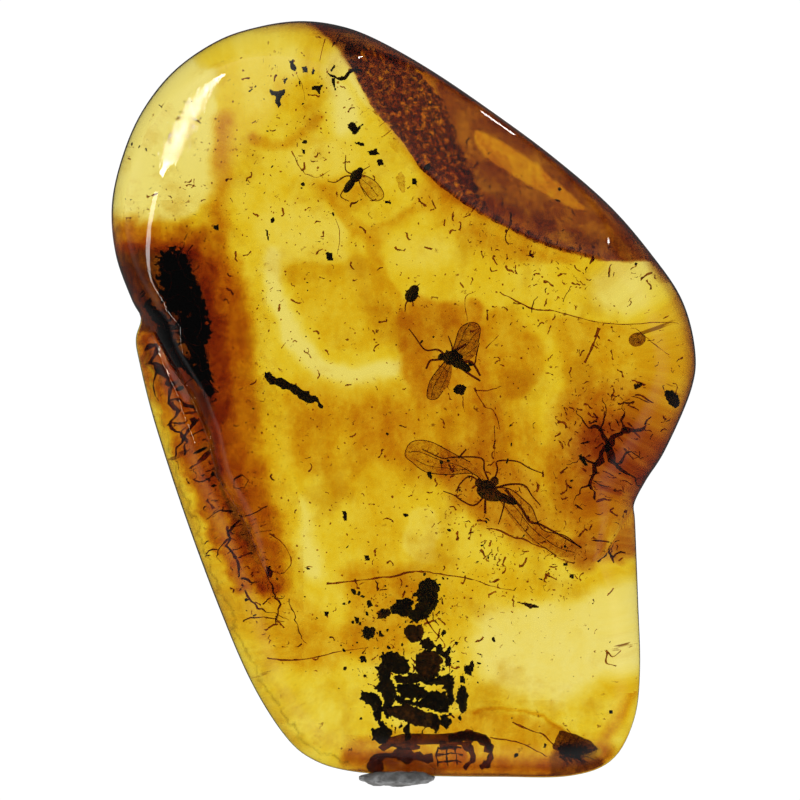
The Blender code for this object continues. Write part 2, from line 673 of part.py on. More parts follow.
def main():
    """Build every piece of the stone."""
    for item in list(bpy.data.objects):
        bpy.data.objects.remove(item)
    finish = {name: make_material(name) for name in COLOURS}
    make_clear(finish["amber"])
    generator = random.Random(CRUMB_SEED)

    fly = make_insect("fly", FLY_BODY, FLY_TURN, FLY_WINGS, FLY_LEGS, FLY_LEG_DROP, finish["chitin"])
    gnat = make_insect("long_winged_gnat", GNAT_BODY, GNAT_TURN, GNAT_WINGS, GNAT_LEGS, GNAT_LEG_DROP,
                       finish["chitin"])
    midge = make_insect("midge", MIDGE_BODY, MIDGE_TURN, MIDGE_WINGS, MIDGE_LEGS, MIDGE_LEG_DROP,
                        finish["chitin"])
    beetle = make_insect("small_beetle", BEETLE_BODY, BEETLE_TURN, [], BEETLE_LEGS, 0.0, finish["chitin"])
    husk = make_crumb("insect_husk", *HUSK, finish["chitin"], generator)
    debris = make_crumb("fly_debris", *FLY_DEBRIS, finish["bark"], generator)
    dark_chip = make_crumb("dark_chip", *DARK_CHIP, finish["bark"], generator)
    crumbs = []
    for number, crumb in enumerate(CRUMBS, start=1):
        crumbs.append(make_crumb(f"bark_crumb_{number:02d}", *crumb, finish["bark"], generator))
    wedge = make_wedge(finish["bark"], generator)
    thread = make_cord("bark_thread", THREAD_PATH, THREAD_RADII, finish["bark"])
    twig = make_cord("curved_twig", TWIG_PATH, TWIG_RADII, finish["bark"], (BRANCH_PATH, BRANCH_RADII))
    tuft_low = PARTING_HEIGHT - TUFT_THICKNESS / 2
    tuft_solid = blade([place(pixel) for pixel in TUFT_OUTLINE], tuft_low, TUFT_THICKNESS)
    tuft = make_object("plant_tuft", tuft_solid, finish["tuft"])
    crust = make_crust(finish["crust"])
    make_chip("matrix_chip", 0.0, finish["matrix"])

    groups = [
        crumbs[0:5], crumbs[5:7] + [midge, husk], [crumbs[7]], crumbs[8:] + [twig], [fly, debris],
        [gnat], [beetle], [dark_chip], [wedge], [thread], [tuft], [crust],
    ]
    cutter = make_pockets(groups)
    pit = make_chip("pit", CHIP_GAP, None)
    front = amber_half("amber_front", PARTING_HEIGHT + GAP / 2, False, finish["amber"])
    back = amber_half("amber_back", PARTING_HEIGHT - GAP / 2, True, finish["amber"])
    for half in (front, back):
        cut(half, cutter)
        cut(half, pit)


main()
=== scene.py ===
"""Looks of a polished amber pebble with insects, bark and crumbs sealed inside it.

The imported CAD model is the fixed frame. Sizes in this file are in millimetres and become metres
when a mesh is made. Places in plan are pixels of the photograph, as in the part's source, and
PLAN turns them into millimetres. Longer lists are tables of text, which dots and table read.
"""
import logging
import math
import random
import sys
from dataclasses import dataclass, field
from enum import Enum
from typing import Callable, Sequence

import bmesh
import bpy
import numpy as np
from mathutils import Matrix, Vector, noise


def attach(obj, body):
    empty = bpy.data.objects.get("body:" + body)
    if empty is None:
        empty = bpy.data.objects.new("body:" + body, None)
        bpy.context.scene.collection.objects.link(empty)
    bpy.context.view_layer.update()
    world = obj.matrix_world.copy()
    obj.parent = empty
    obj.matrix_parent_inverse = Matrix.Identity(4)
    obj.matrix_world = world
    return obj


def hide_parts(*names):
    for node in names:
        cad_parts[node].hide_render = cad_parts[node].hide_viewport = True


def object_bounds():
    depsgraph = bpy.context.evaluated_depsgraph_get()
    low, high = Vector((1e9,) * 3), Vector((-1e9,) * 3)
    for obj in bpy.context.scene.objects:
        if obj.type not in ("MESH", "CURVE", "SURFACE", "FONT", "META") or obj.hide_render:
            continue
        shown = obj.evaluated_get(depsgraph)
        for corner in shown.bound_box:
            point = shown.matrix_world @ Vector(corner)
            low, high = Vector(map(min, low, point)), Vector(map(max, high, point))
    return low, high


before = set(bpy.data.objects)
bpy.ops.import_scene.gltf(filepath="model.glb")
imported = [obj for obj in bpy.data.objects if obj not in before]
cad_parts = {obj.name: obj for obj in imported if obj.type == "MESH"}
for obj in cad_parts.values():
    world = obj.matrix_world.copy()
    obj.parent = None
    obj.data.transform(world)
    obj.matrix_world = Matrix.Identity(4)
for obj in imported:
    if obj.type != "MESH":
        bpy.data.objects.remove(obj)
CAD_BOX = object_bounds()

Pixel = tuple[float, float]
Colour = tuple[float, float, float]
Faces = list[tuple[int, ...]]
Socket = bpy.types.NodeSocket
Material = bpy.types.Material
Object = bpy.types.Object

TO_METRES = 0.001
TO_MILLIMETRES = 1000.0
BODY = "root"
LOG = logging.getLogger("amber")
NOISE_SEED = 5


def dots(text: str) -> tuple[Pixel, ...]:
    """Read pixels that are written as 'x,y x,y'."""
    return tuple((float(x), float(y)) for x, y in (pair.split(",") for pair in text.split()))


def read_word(word: str) -> float | bool | str:
    """Read a word of a table: a number, True or a name."""
    if word == "True":
        return True
    try:
        return float(word)
    except ValueError:
        return word


def table(make: Callable, text: str) -> tuple:
    """Make one thing for each row of a table.

    Args:
        make: Called with the row's pixels, then its values, then its named values.
        text: Rows that end with a semicolon: pixels, a bar, values, and values as name=value.

    Returns:
        The things, in order.
    """
    things = []
    for row in filter(str.strip, text.split(";")):
        pixels, _, rest = row.partition("|")
        values, named = [], {}
        for word in rest.split():
            name, _, value = word.rpartition("=")
            if name:
                named[name] = read_word(value)
            else:
                values.append(read_word(value))
        things.append(make(dots(pixels), *values, **named))
    return tuple(things)


@dataclass(frozen=True)
class Plan:
    """Scale and middle of the plan, in pixels of the photograph."""

    stone_length: float = 44.6
    top: float = 21.0
    bottom: float = 786.0
    middle: float = 403.5

    @property
    def pixel(self) -> float:
        """Size of a pixel in millimetres."""
        return self.stone_length / (self.bottom - self.top)

    def place(self, pixel: Pixel) -> tuple[float, float]:
        """Give the place in plan of a pixel, in millimetres."""
        return (pixel[0] - self.middle) * self.pixel, (self.middle - pixel[1]) * self.pixel

    def places(self, pixels: Sequence[Pixel]) -> np.ndarray:
        """Give the places in plan of several pixels."""
        return np.array([self.place(pixel) for pixel in pixels], dtype=float)


PLAN = Plan()


def smoothstep(low: float, high: float, value: np.ndarray) -> np.ndarray:
    """Rise smoothly from 0 at low to 1 at high.

    Args:
        low: Value below which the result is 0.
        high: Value above which the result is 1.
        value: Values to map.

    Returns:
        The mapped values.
    """
    share = np.clip((value - low) / (high - low), 0.0, 1.0)
    return share * share * (3 - 2 * share)


def spline(points: np.ndarray, steps: int, closed: bool) -> np.ndarray:
    """Sample a Catmull-Rom curve through points.

    Args:
        points: The points, one a row, with any number of values each.
        steps: Samples for each stretch between two points.
        closed: Whether the curve comes back to its start.

    Returns:
        The samples, one a row.
    """
    if closed:
        here, before = points, np.roll(points, 1, axis=0)
        after, beyond = np.roll(points, -1, axis=0), np.roll(points, -2, axis=0)
    else:
        padded = np.vstack([2 * points[0] - points[1], points, 2 * points[-1] - points[-2]])
        before, here, after, beyond = padded[:-3], padded[1:-2], padded[2:-1], padded[3:]
    samples = []
    for step in range(steps):
        t = step / steps
        samples.append(0.5 * (2 * here + (after - before) * t
                              + (2 * before - 5 * here + 4 * after - beyond) * t ** 2
                              + (3 * here - before - 3 * after + beyond) * t ** 3))
    curve = np.stack(samples, axis=1).reshape(-1, points.shape[1])
    return curve if closed else np.vstack([curve, points[-1]])


def path_distance(x: np.ndarray, y: np.ndarray, path: np.ndarray) -> tuple[np.ndarray, ...]:
    """Measure places against an open path in plan.

    Args:
        x: Places along X.
        y: Places along Y.
        path: Points of the path, one a row.

    Returns:
        The distance, the distance with the sign of the side, and the share of the way along.
    """
    lengths = np.hypot(*np.diff(path, axis=0).T)
    nearest = np.full(x.shape, np.inf)
    signed = np.zeros(x.shape)
    along = np.zeros(x.shape)
    start = 0.0
    for (from_x, from_y), (to_x, to_y), length in zip(path[:-1], path[1:], lengths):
        run_x, run_y = (to_x - from_x) / length, (to_y - from_y) / length
        run = np.clip((x - from_x) * run_x + (y - from_y) * run_y, 0, length)
        away_x = x - (from_x + run * run_x)
        away_y = y - (from_y + run * run_y)
        distance = np.hypot(away_x, away_y)
        closer = distance < nearest
        nearest = np.where(closer, distance, nearest)
        signed = np.where(closer, np.sign(run_x * away_y - run_y * away_x) * distance, signed)
        along = np.where(closer, (start + run) / lengths.sum(), along)
        start += length
    return nearest, signed, along


def outline_distance(x: np.ndarray, y: np.ndarray, outline: np.ndarray) -> np.ndarray:
    """Measure places against a closed outline in plan: negative inside it, positive outside."""
    ring = np.vstack([outline, outline[0]])
    distance = path_distance(x, y, ring)[0]
    inside = np.zeros(x.shape, dtype=bool)
    for (from_x, from_y), (to_x, to_y) in zip(ring[:-1], ring[1:]):
        if from_y == to_y:
            continue
        crosses = (from_y > y) != (to_y > y)
        inside ^= crosses & (x < (to_x - from_x) * (y - from_y) / (to_y - from_y) + from_x)
    return np.where(inside, -distance, distance)


def wander(x: np.ndarray, y: np.ndarray, size: float, seed: int) -> np.ndarray:
    """Give a smooth wandering value between about -1 and 1.

    Args:
        x: Places along X.
        y: Places along Y.
        size: Typical size of a swell.
        seed: Which pattern.

    Returns:
        One value for each place.
    """
    generator = random.Random(seed)
    waves = 7
    total = np.zeros(x.shape)
    for _ in range(waves):
        turn = generator.uniform(0, 2 * math.pi)
        pace = generator.uniform(0.6, 1.7) * 2 * math.pi / size
        phase = generator.uniform(0, 2 * math.pi)
        total = total + np.sin((x * math.cos(turn) + y * math.sin(turn)) * pace + phase)
    return total / math.sqrt(waves / 2) / 2


@dataclass(frozen=True)
class Facet:
    """A polished flat: its fall in plan, where it starts, its height there, its slope and its bow."""

    fall: tuple[float, float]
    start: float
    height: float
    slope: float
    bow: float = 0.0
    bow_middle: float = 2.6
    roll: float = 0.0
    roll_start: float = 7.8
    cup: float = 0.0
    cup_middle: float = -4.0
    bow_start: float = -1.5

    def level(self, x: np.ndarray, y: np.ndarray) -> np.ndarray:
        """Give the height of the flat, which polishing left a little round."""
        run = x * self.fall[0] + y * self.fall[1] - self.start
        side = x * self.fall[1] - y * self.fall[0]
        bowed = self.bow * (np.maximum(run, self.bow_start) - self.bow_middle) ** 2
        rolled = self.roll * np.maximum(side - self.roll_start, 0) ** 2
        return self.height - self.slope * run - bowed - rolled + self.cup * (side - self.cup_middle) ** 2


@dataclass(frozen=True)
class Crease:
    """A fold line of the lobe over the tab, from the notch inwards, with its depth at the notch."""

    path: tuple[Pixel, ...]
    depth: float
    side: int
    lip: float = 1.1
    rise: float = 0.35
    run: float = 1.4

    def drop(self, x: np.ndarray, y: np.ndarray) -> np.ndarray:
        """Give how far the tab lies below the lobe."""
        _, signed, along = path_distance(x, y, PLAN.places(self.path))
        signed = signed * self.side
        lip = np.clip((signed + self.lip) / self.lip, 0, 1)
        edge = 1 - np.sqrt(1 - lip * lip)
        rise = self.rise * (1 - np.exp(-np.maximum(signed, 0) / self.run))
        return self.depth * (1 - along) * (edge - rise)


LEFT_CREASE = Crease(
    dots("136,314 156,336 171,364 193,396 209,434 219,475 249,525 272,585"),
    depth=2.8, side=-1,
)
RIGHT_CREASE = Crease(dots("640,494 630,512 618,530 605,550 590,562"), depth=1.8, side=1)
RIGHT_FACET = Facet(fall=(0.5747, 0.8185), start=11.5, height=11.2, slope=0.80, cup=0.015)
LEFT_FACET = Facet(fall=(-0.98, 0.20), start=12.9, height=10.7, slope=0.38, bow=0.016, roll=0.010)


@dataclass(frozen=True)
class StoneShape:
    """The stone's form: an outline in plan, a low dome, a round shoulder, a flat base, flats, folds."""

    outline: tuple[Pixel, ...] = dots("302,21 341,26 378,40 431,70 490,110 551,155 609,205 652,255 682,300 "
                                      "695,350 691,390 665,450 646,480 634,504 635,522 638,600 640,670 "
                                      "634,720 612,760 570,776 500,777 420,776 354,772 313,760 284,735 "
                                      "250,680 216,600 183,510 154,420 139,360 136,338 141,318 132,300 "
                                      "116,255 112,205 123,155 143,110 175,70 219,40 262,26")
    rim_height: float = 4.7
    rim_wave: float = 0.45
    rim_phase: float = 0.6
    lobe_height: float = 11.4
    lobe_middle: float = 6.0
    lobe_curve: tuple[float, float] = (95.0, 120.0)
    tab_drop: float = 1.5
    tab_fall: tuple[float, float] = (2.0, 17.0)
    shoulder_top: float = 3.6
    shoulder_bottom: float = 3.0
    shoulder_power: float = 2.3
    crease_blend: float = math.radians(12)
    flat_rounding: float = 0.22

    def radius(self, angle: np.ndarray) -> np.ndarray:
        """Give the distance from the middle to the outline at each angle."""
        curve = spline(PLAN.places(self.outline), 8, closed=True)
        angles = np.arctan2(curve[:, 1], curve[:, 0])
        order = np.argsort(angles)
        reach = np.hypot(curve[:, 0], curve[:, 1])
        return np.interp(angle, angles[order], reach[order], period=2 * math.pi)

    def rim(self, angle: np.ndarray) -> np.ndarray:
        """Give the height of the rim at each angle."""
        return self.rim_height + self.rim_wave * np.cos(2 * angle + self.rim_phase)

    def dome(self, x: np.ndarray, y: np.ndarray) -> np.ndarray:
        """Give the height of the top before the shoulder and the flats."""
        curve_x, curve_y = self.lobe_curve
        height = self.lobe_height - x ** 2 / (2 * curve_x) - (y - self.lobe_middle) ** 2 / (2 * curve_y)
        height = height - self.tab_drop * smoothstep(*self.tab_fall, -y)
        return height - LEFT_CREASE.drop(x, y) - RIGHT_CREASE.drop(x, y)

    def top(self, x: np.ndarray, y: np.ndarray) -> np.ndarray:
        """Give the height of the top surface."""
        angle = np.arctan2(y, x)
        inset = self.radius(angle) - np.hypot(x, y)
        rim = self.rim(angle)
        share = np.clip(1 - inset / self.shoulder_top, 0, 1)
        lift = (1 - share ** self.shoulder_power) ** (1 / self.shoulder_power)
        height = rim + (self.dome(x, y) - rim) * lift
        for facet in (RIGHT_FACET, LEFT_FACET):
            level = facet.level(x, y)
            height = 0.5 * (height + level - np.sqrt((height - level) ** 2 + self.flat_rounding ** 2))
        return height

    def bottom(self, x: np.ndarray, y: np.ndarray) -> np.ndarray:
        """Give the height of the under side."""
        angle = np.arctan2(y, x)
        inset = np.clip((self.radius(angle) - np.hypot(x, y)) / self.shoulder_bottom, 0, 1)
        cosine = (1 - inset) ** (self.shoulder_power / 2)
        return self.rim(angle) * (1 - np.sqrt(1 - cosine ** 2) ** (2 / self.shoulder_power))

    def slopes(self, x: np.ndarray, y: np.ndarray) -> tuple[np.ndarray, np.ndarray]:
        """Give the slopes of the top along X and along Y."""
        step = 0.05
        along_x = (self.top(x + step, y) - self.top(x - step, y)) / (2 * step)
        along_y = (self.top(x, y + step) - self.top(x, y - step)) / (2 * step)
        return along_x, along_y

    def reach_at(self, height: float, margin: float, angle: np.ndarray) -> np.ndarray:
        """Give how far a level layer may reach at each angle and stay inside the stone.

        Args:
            height: Height of the layer.
            margin: Amber left between the layer and the surface.
            angle: Angles in plan.

        Returns:
            The furthest distance from the middle at each angle.
        """
        steps = np.linspace(0.3, 1.0, 180)
        reach = np.outer(steps, self.radius(angle))
        x, y = reach * np.cos(angle), reach * np.sin(angle)
        room = np.minimum(self.top(x, y) - height, height - self.bottom(x, y))
        room = np.minimum(room, self.radius(angle) - reach)
        return np.where(room > margin, reach, 0).max(axis=0)

    def crest(self, angle: np.ndarray, radius: np.ndarray) -> np.ndarray:
        """Give where the mesh's rings bend: along the folds, or else round the shoulder."""
        crest = radius - self.shoulder_top
        for crease in (LEFT_CREASE, RIGHT_CREASE):
            points = PLAN.places(crease.path)
            turns = np.arctan2(points[:, 1], points[:, 0]) % (2 * math.pi)
            order = np.argsort(turns)
            turns, reach = turns[order], np.hypot(points[:, 0], points[:, 1])[order]
            outside = np.maximum(turns[0] - angle, angle - turns[-1])
            share = 1 - smoothstep(0, self.crease_blend, outside)
            crest = crest + share * (np.interp(angle, turns, reach) - crest)
        return np.minimum(crest, radius - LEFT_CREASE.lip)


SHAPE = StoneShape()


@dataclass(frozen=True)
class Sight:
    """How the top bends a view straight down, so that what lies inside is seen where it should be."""

    ior: float = 1.54
    most: float = 1.1

    def shift(self, x: np.ndarray, y: np.ndarray, height: np.ndarray | float) -> np.ndarray:
        """Give how far to the side a thing must lie to be seen at a place.

        Args:
            x: Places where it should be seen, along X.
            y: Places where it should be seen, along Y.
            height: Height of the thing.

        Returns:
            The shift in plan, one a row.
        """
        slopes = np.stack(SHAPE.slopes(x, y), axis=1)
        length = np.sqrt(1 + (slopes ** 2).sum(axis=1))
        ratio = 1 / self.ior
        cosine = np.sqrt(1 - ratio ** 2 * (1 - 1 / length ** 2))
        bend = ratio / length - cosine
        depth = np.maximum(SHAPE.top(x, y) - height, 0)
        shift = -(bend / length * depth / (ratio - bend / length))[:, None] * slopes
        size = np.maximum(np.hypot(shift[:, 0], shift[:, 1]), 1e-6)
        return shift * np.minimum(1, self.most / size)[:, None]

    def under(self, plan: np.ndarray, height: np.ndarray | float) -> np.ndarray:
        """Give where things at a height must lie to be seen at places in plan."""
        return plan + self.shift(plan[:, 0], plan[:, 1], height)

    def seen(self, plan: np.ndarray, height: np.ndarray | float) -> np.ndarray:
        """Give where things at a height are seen."""
        place = plan
        for _ in range(3):
            place = plan - self.shift(place[:, 0], place[:, 1], height)
        return place

    def point(self, pixel: Pixel, height: float) -> Vector:
        """Give where a thing must be to be seen at a pixel."""
        place = self.under(PLAN.places([pixel]), height)[0]
        return Vector((place[0], place[1], height))


SIGHT = Sight()


class Graph:
    """A node tree with a short way to add and link nodes."""

    def __init__(self, tree: bpy.types.NodeTree) -> None:
        """Start with an existing tree."""
        self.tree = tree

    def node(self, kind: str, inputs: dict | None = None, **settings: object) -> bpy.types.Node:
        """Add a node.

        Args:
            kind: Blender's name for the node type.
            inputs: For each input socket, by name or number, a value or a socket to link.
            settings: Properties of the node.

        Returns:
            The node.
        """
        made = self.tree.nodes.new(kind)
        for name, value in settings.items():
            setattr(made, name, value)
        for socket, value in (inputs or {}).items():
            if isinstance(value, Socket):
                self.tree.links.new(value, made.inputs[socket])
            else:
                made.inputs[socket].default_value = value
        return made

    def result(self, kind: str, inputs: dict | None = None, **settings: object) -> Socket:
        """Add a node and give its first output."""
        return self.node(kind, inputs, **settings).outputs[0]

    def math(self, operation: str, *values: object) -> Socket:
        """Add a Math node and give its result."""
        return self.result("ShaderNodeMath", dict(enumerate(values)), operation=operation)


class Paint(Graph):
    """The node tree of a material, on Object coordinates in millimetres."""

    def __init__(self, name: str) -> None:
        """Make an empty material."""
        self.material = bpy.data.materials.new(name)
        self.material.use_nodes = True
        super().__init__(self.material.node_tree)
        self.tree.nodes.clear()
        self.output = self.node("ShaderNodeOutputMaterial")
        coordinates = self.node("ShaderNodeTexCoord").outputs["Object"]
        scale = (TO_MILLIMETRES,) * 3
        self.place = self.result("ShaderNodeMapping", {"Vector": coordinates, "Scale": scale})

    def noise(self, size: float, detail: float = 3.0, stretch: Colour | None = None) -> Socket:
        """Add noise with spots of a size in millimetres and give its value from 0 to 1."""
        place = self.place
        if stretch:
            place = self.result("ShaderNodeMapping", {"Vector": place, "Scale": stretch})
        inputs = {"Vector": place, "Scale": 1 / size, "Detail": detail, "Roughness": 0.6}
        return self.node("ShaderNodeTexNoise", inputs).outputs["Fac"]

    def spread(self, value: Socket, low: float, high: float, to_low: float,
               to_high: float) -> Socket:
        """Map values between low and high to another range, smoothly."""
        inputs = {"Value": value, 1: low, 2: high, 3: to_low, 4: to_high}
        return self.result("ShaderNodeMapRange", inputs, interpolation_type="SMOOTHSTEP")

    def blend(self, share: object, first: object, second: object) -> Socket:
        """Mix two colours by a share and give the result."""
        made = self.node("ShaderNodeMix", data_type="RGBA")
        for index, value in ((0, share), (6, first), (7, second)):
            if isinstance(value, Socket):
                self.tree.links.new(value, made.inputs[index])
            elif isinstance(value, tuple):
                made.inputs[index].default_value = (*value, 1.0)
            else:
                made.inputs[index].default_value = value
        return made.outputs[2]

    def bump(self, height: Socket, depth: float, strength: float) -> Socket:
        """Add a bump of a depth in millimetres and give the bent normal."""
        inputs = {"Height": height, "Distance": depth * TO_METRES, "Strength": strength}
        return self.result("ShaderNodeBump", inputs)

    def surface(self, shader: Socket) -> Material:
        """Give the material its surface and return it."""
        self.tree.links.new(shader, self.output.inputs["Surface"])
        return self.material


@dataclass(frozen=True)
class ClearAmber:
    """Clear polished amber: plain transmission and absorption, with faint swells from polishing."""

    ior: float = 1.54
    roughness: float = 0.012
    absorbs: Colour = (0.911, 0.815, 0.0)
    density: float = 182.0
    swell: float = 2.6
    swell_depth: float = 0.010
    scratch_place: Colour = (-13.2, 16.8, 0.0)
    scratch_reach: tuple[float, float] = (2.2, 4.0)
    scratch_turn: float = math.radians(70)
    scratch_grain: Colour = (0.35, 9.0, 0.0)
    scratch_depth: float = 0.0035

    def make(self) -> Material:
        """Make the material."""
        paint = Paint("clear_amber")
        swell = paint.bump(paint.noise(self.swell, 1.0), self.swell_depth, 1.0)
        flat = paint.result("ShaderNodeVectorMath", {0: paint.place, 1: (1.0, 1.0, 0.0)},
                          operation="MULTIPLY")
        away = paint.node("ShaderNodeVectorMath", {0: flat, 1: self.scratch_place}, operation="DISTANCE")
        near = paint.spread(away.outputs["Value"], *self.scratch_reach, 1.0, 0.0)
        turned = paint.result("ShaderNodeMapping", {
            "Vector": flat, "Rotation": (0.0, 0.0, -self.scratch_turn),
        })
        lines = paint.result("ShaderNodeMapping", {"Vector": turned, "Scale": self.scratch_grain})
        scratch = paint.node("ShaderNodeTexNoise", {"Vector": lines, "Scale": 1.0, "Detail": 3.0})
        normal = paint.result("ShaderNodeBump", {
            "Height": paint.math("MULTIPLY", scratch.outputs["Fac"], near),
            "Distance": self.scratch_depth * TO_METRES, "Strength": 1.0, "Normal": swell,
        })
        shader = paint.node("ShaderNodeBsdfPrincipled", {
            "Base Color": (1.0, 1.0, 1.0, 1.0), "Transmission Weight": 1.0, "IOR": self.ior,
            "Roughness": self.roughness, "Normal": normal,
        })
        volume = paint.node("ShaderNodeVolumeAbsorption", {
            "Color": (*self.absorbs, 1.0), "Density": self.density,
        })
        paint.tree.links.new(volume.outputs[0], paint.output.inputs["Volume"])
        return paint.surface(shader.outputs[0])


@dataclass(frozen=True)
class FlowTint:
    """Tint of a flow layer: the layer's own attribute, with streaks and fine flecks in the resin."""

    name: str
    attribute: str = "tint"
    streak: float = 1.3
    grain: float = 0.32
    streaks: tuple[float, float] = (0.70, 1.30)
    grains: tuple[float, float] = (0.88, 1.12)
    haze: Colour = (0.86, 0.74, 0.45)
    fleck: Colour = (0.34, 0.15, 0.02)
    flecks: float = 0.75
    fleck_size: float = 0.42

    def make(self) -> Material:
        """Make the material."""
        paint = Paint(self.name)
        tint = paint.node("ShaderNodeAttribute", attribute_name=self.attribute).outputs["Color"]
        streaks = paint.spread(paint.noise(self.streak, 5.0, (1.0, 0.6, 1.0)), 0.3, 0.7, *self.streaks)
        grains = paint.spread(paint.noise(self.grain, 4.0), 0.3, 0.7, *self.grains)
        inputs = {"Color": tint, "Gamma": paint.math("MULTIPLY", streaks, grains)}
        colour = paint.result("ShaderNodeGamma", inputs)
        hazes = paint.spread(paint.noise(self.streak * 2.3, 6.0), 0.48, 0.72, 0.0, 0.7)
        hazed = paint.node("ShaderNodeMix", data_type="RGBA", blend_type="MULTIPLY")
        paint.tree.links.new(hazes, hazed.inputs[0])
        paint.tree.links.new(colour, hazed.inputs[6])
        hazed.inputs[7].default_value = (*self.haze, 1.0)
        spots = paint.spread(paint.noise(self.fleck_size, 6.0), 0.655, 0.70, 0.0, self.flecks)
        where = paint.spread(paint.noise(4.5, 2.0), 0.40, 0.60, 0.25, 1.0)
        flecked = paint.blend(paint.math("MULTIPLY", spots, where), hazed.outputs[2], self.fleck)
        return paint.surface(paint.result("ShaderNodeBsdfTransparent", {"Color": flecked}))


@dataclass(frozen=True)
class RoughFinish:
    """A rough, opaque finish of two mottled colours with a bumpy grain."""

    name: str
    dark: Colour
    light: Colour
    grain: float = 0.22
    bump: float = 0.08
    roughness: float = 0.7

    def make(self) -> Material:
        """Make the material."""
        paint = Paint(self.name)
        mottle = paint.noise(self.grain * 2.2, 4.0)
        grain = paint.noise(self.grain, 5.0)
        share = paint.spread(paint.math("MULTIPLY", mottle, grain), 0.16, 0.42, 0.0, 1.0)
        rough = paint.spread(grain, 0.3, 0.7, self.roughness - 0.12, self.roughness + 0.15)
        shader = paint.node("ShaderNodeBsdfPrincipled", {
            "Base Color": paint.blend(share, self.dark, self.light), "Roughness": rough,
            "Normal": paint.bump(grain, self.bump, 0.8),
        })
        return paint.surface(shader.outputs[0])


@dataclass(frozen=True)
class ThinFinish:
    """A thin, see-through film with a mottled tint and a little gloss, such as a wing or a bubble's wall."""

    name: str
    tint: Colour
    edge: Colour
    gloss: float = 0.06
    grain: float = 0.18

    def make(self) -> Material:
        """Make the material."""
        paint = Paint(self.name)
        share = paint.spread(paint.noise(self.grain, 4.0), 0.35, 0.75, 0.0, 1.0)
        clear = paint.node("ShaderNodeBsdfTransparent", {"Color": paint.blend(share, self.tint, self.edge)})
        glossy = paint.node("ShaderNodeBsdfPrincipled", {
            "Base Color": (*self.edge, 1.0), "Roughness": 0.3,
        })
        mixed = paint.node("ShaderNodeMixShader", {0: self.gloss, 1: clear.outputs[0], 2: glossy.outputs[0]})
        return paint.surface(mixed.outputs[0])


@dataclass(frozen=True)
class CrustFinish:
    """The crust: rough brown grains with golden spots, which paint the glint of its spangles, broken up by
    its own attribute.
    """

    name: str = "brown_crust"
    grain: float = 0.20
    dark: Colour = (0.30, 0.16, 0.05)
    brown: Colour = (0.80, 0.56, 0.24)
    gold: Colour = (1.0, 0.86, 0.45)
    solid: float = 0.12

    def make(self) -> Material:
        """Make the material."""
        paint = Paint(self.name)
        body = paint.node("ShaderNodeAttribute", attribute_name="body").outputs["Fac"]
        grain = paint.noise(self.grain, 6.0)
        mottled = paint.blend(paint.spread(grain, 0.42, 0.62, 0.0, 1.0), self.dark, self.brown)
        # Painted glint: the spangles' shine is laid in as bright golden spots of colour.
        flakes = paint.spread(paint.noise(0.22, 4.0), 0.60, 0.66, 0.0, 1.0)
        mottled = paint.blend(flakes, mottled, self.gold)
        clear = paint.node("ShaderNodeBsdfTransparent", {"Color": mottled})
        solid = paint.node("ShaderNodeBsdfPrincipled", {
            "Base Color": mottled, "Roughness": paint.spread(grain, 0.3, 0.7, 0.35, 0.65),
            "Normal": paint.bump(grain, 0.15, 1.0),
        })
        whole = paint.node("ShaderNodeBsdfTransparent", {"Color": (1.0, 1.0, 1.0, 1.0)})
        broken = paint.spread(paint.math("ADD", body, paint.noise(0.36, 6.0)), 0.88, 1.04, 0.0, 1.0)
        inner = paint.node("ShaderNodeMixShader", {0: self.solid, 1: clear.outputs[0], 2: solid.outputs[0]})
        mixed = paint.node("ShaderNodeMixShader", {0: broken, 1: whole.outputs[0], 2: inner.outputs[0]})
        return paint.surface(mixed.outputs[0])


class Tint(Enum):
    """Colours of the resin's flows, as optical depth in red, green and blue for one way through. The crease
    and rim tints are painted reflection and painted shade, not flows.
    """

    CLEAR = (0.0, 0.0, 0.0)
    LEMON = (0.02, 0.08, 0.5)
    PALE = (0.04, 0.14, 1.0)
    YELLOW = (0.09, 0.27, 2.0)
    HONEY = (0.16, 0.46, 2.8)
    AMBER = (0.25, 0.70, 3.6)
    GOLD = (0.33, 0.90, 4.0)
    DEEP_GOLD = (0.42, 1.15, 4.2)
    ORANGE = (0.62, 1.55, 4.5)
    RUST = (0.90, 2.1, 4.5)
    RED = (1.35, 3.1, 4.5)
    DARK = (2.6, 3.6, 3.8)
    BROWN = (1.25, 2.45, 3.8)
    TIP = (1.8, 2.9, 3.4)
    # Painted reflection: the greyish sheen of the left crease's steep side, laid in as a tint.
    MAUVE = (1.75, 2.8, 2.4)
    OLIVE = (0.75, 0.80, 1.2)
    # Painted shade: the darker band along the stone's rim.
    SKIN = (1.05, 1.75, 1.5)


@dataclass(frozen=True)
class Flow:
    """One flow of resin in plan: a closed outline, or an open path where a half width is given."""

    points: tuple[Pixel, ...]
    tint: Tint
    softness: float = 0.5
    strength: float = 1.0
    width: float | None = None

    def share(self, x: np.ndarray, y: np.ndarray) -> np.ndarray:
        """Give how much of the flow is at each place, from 0 to 1."""
        points = PLAN.places(self.points)
        if self.width is None:
            distance = outline_distance(x, y, spline(points, 4, closed=True))
        else:
            distance = path_distance(x, y, spline(points, 4, closed=False))[0] - self.width
        return self.strength * (1 - smoothstep(-self.softness, self.softness, distance))


def flow(points: tuple[Pixel, ...], tint: str, *sizes: float) -> Flow:
    """Make a flow from a table's row: its tint's name, then its softness, strength and half width."""
    return Flow(points, Tint[tint], *sizes)


def paint_flows(plan: np.ndarray, base: Tint, flows: Sequence[Flow]) -> np.ndarray:
    """Lay flows over each other in order.

    Args:
        plan: Places in plan where the tint is seen.
        base: Tint where no flow lies.
        flows: The flows, the lowest first.

    Returns:
        The optical depth in red, green and blue at each place.
    """
    depth = np.tile(np.array(base.value), (len(plan), 1))
    for flow in flows:
        share = flow.share(plan[:, 0], plan[:, 1])[:, None]
        depth = depth + share * (np.array(flow.tint.value) - depth)
    return depth


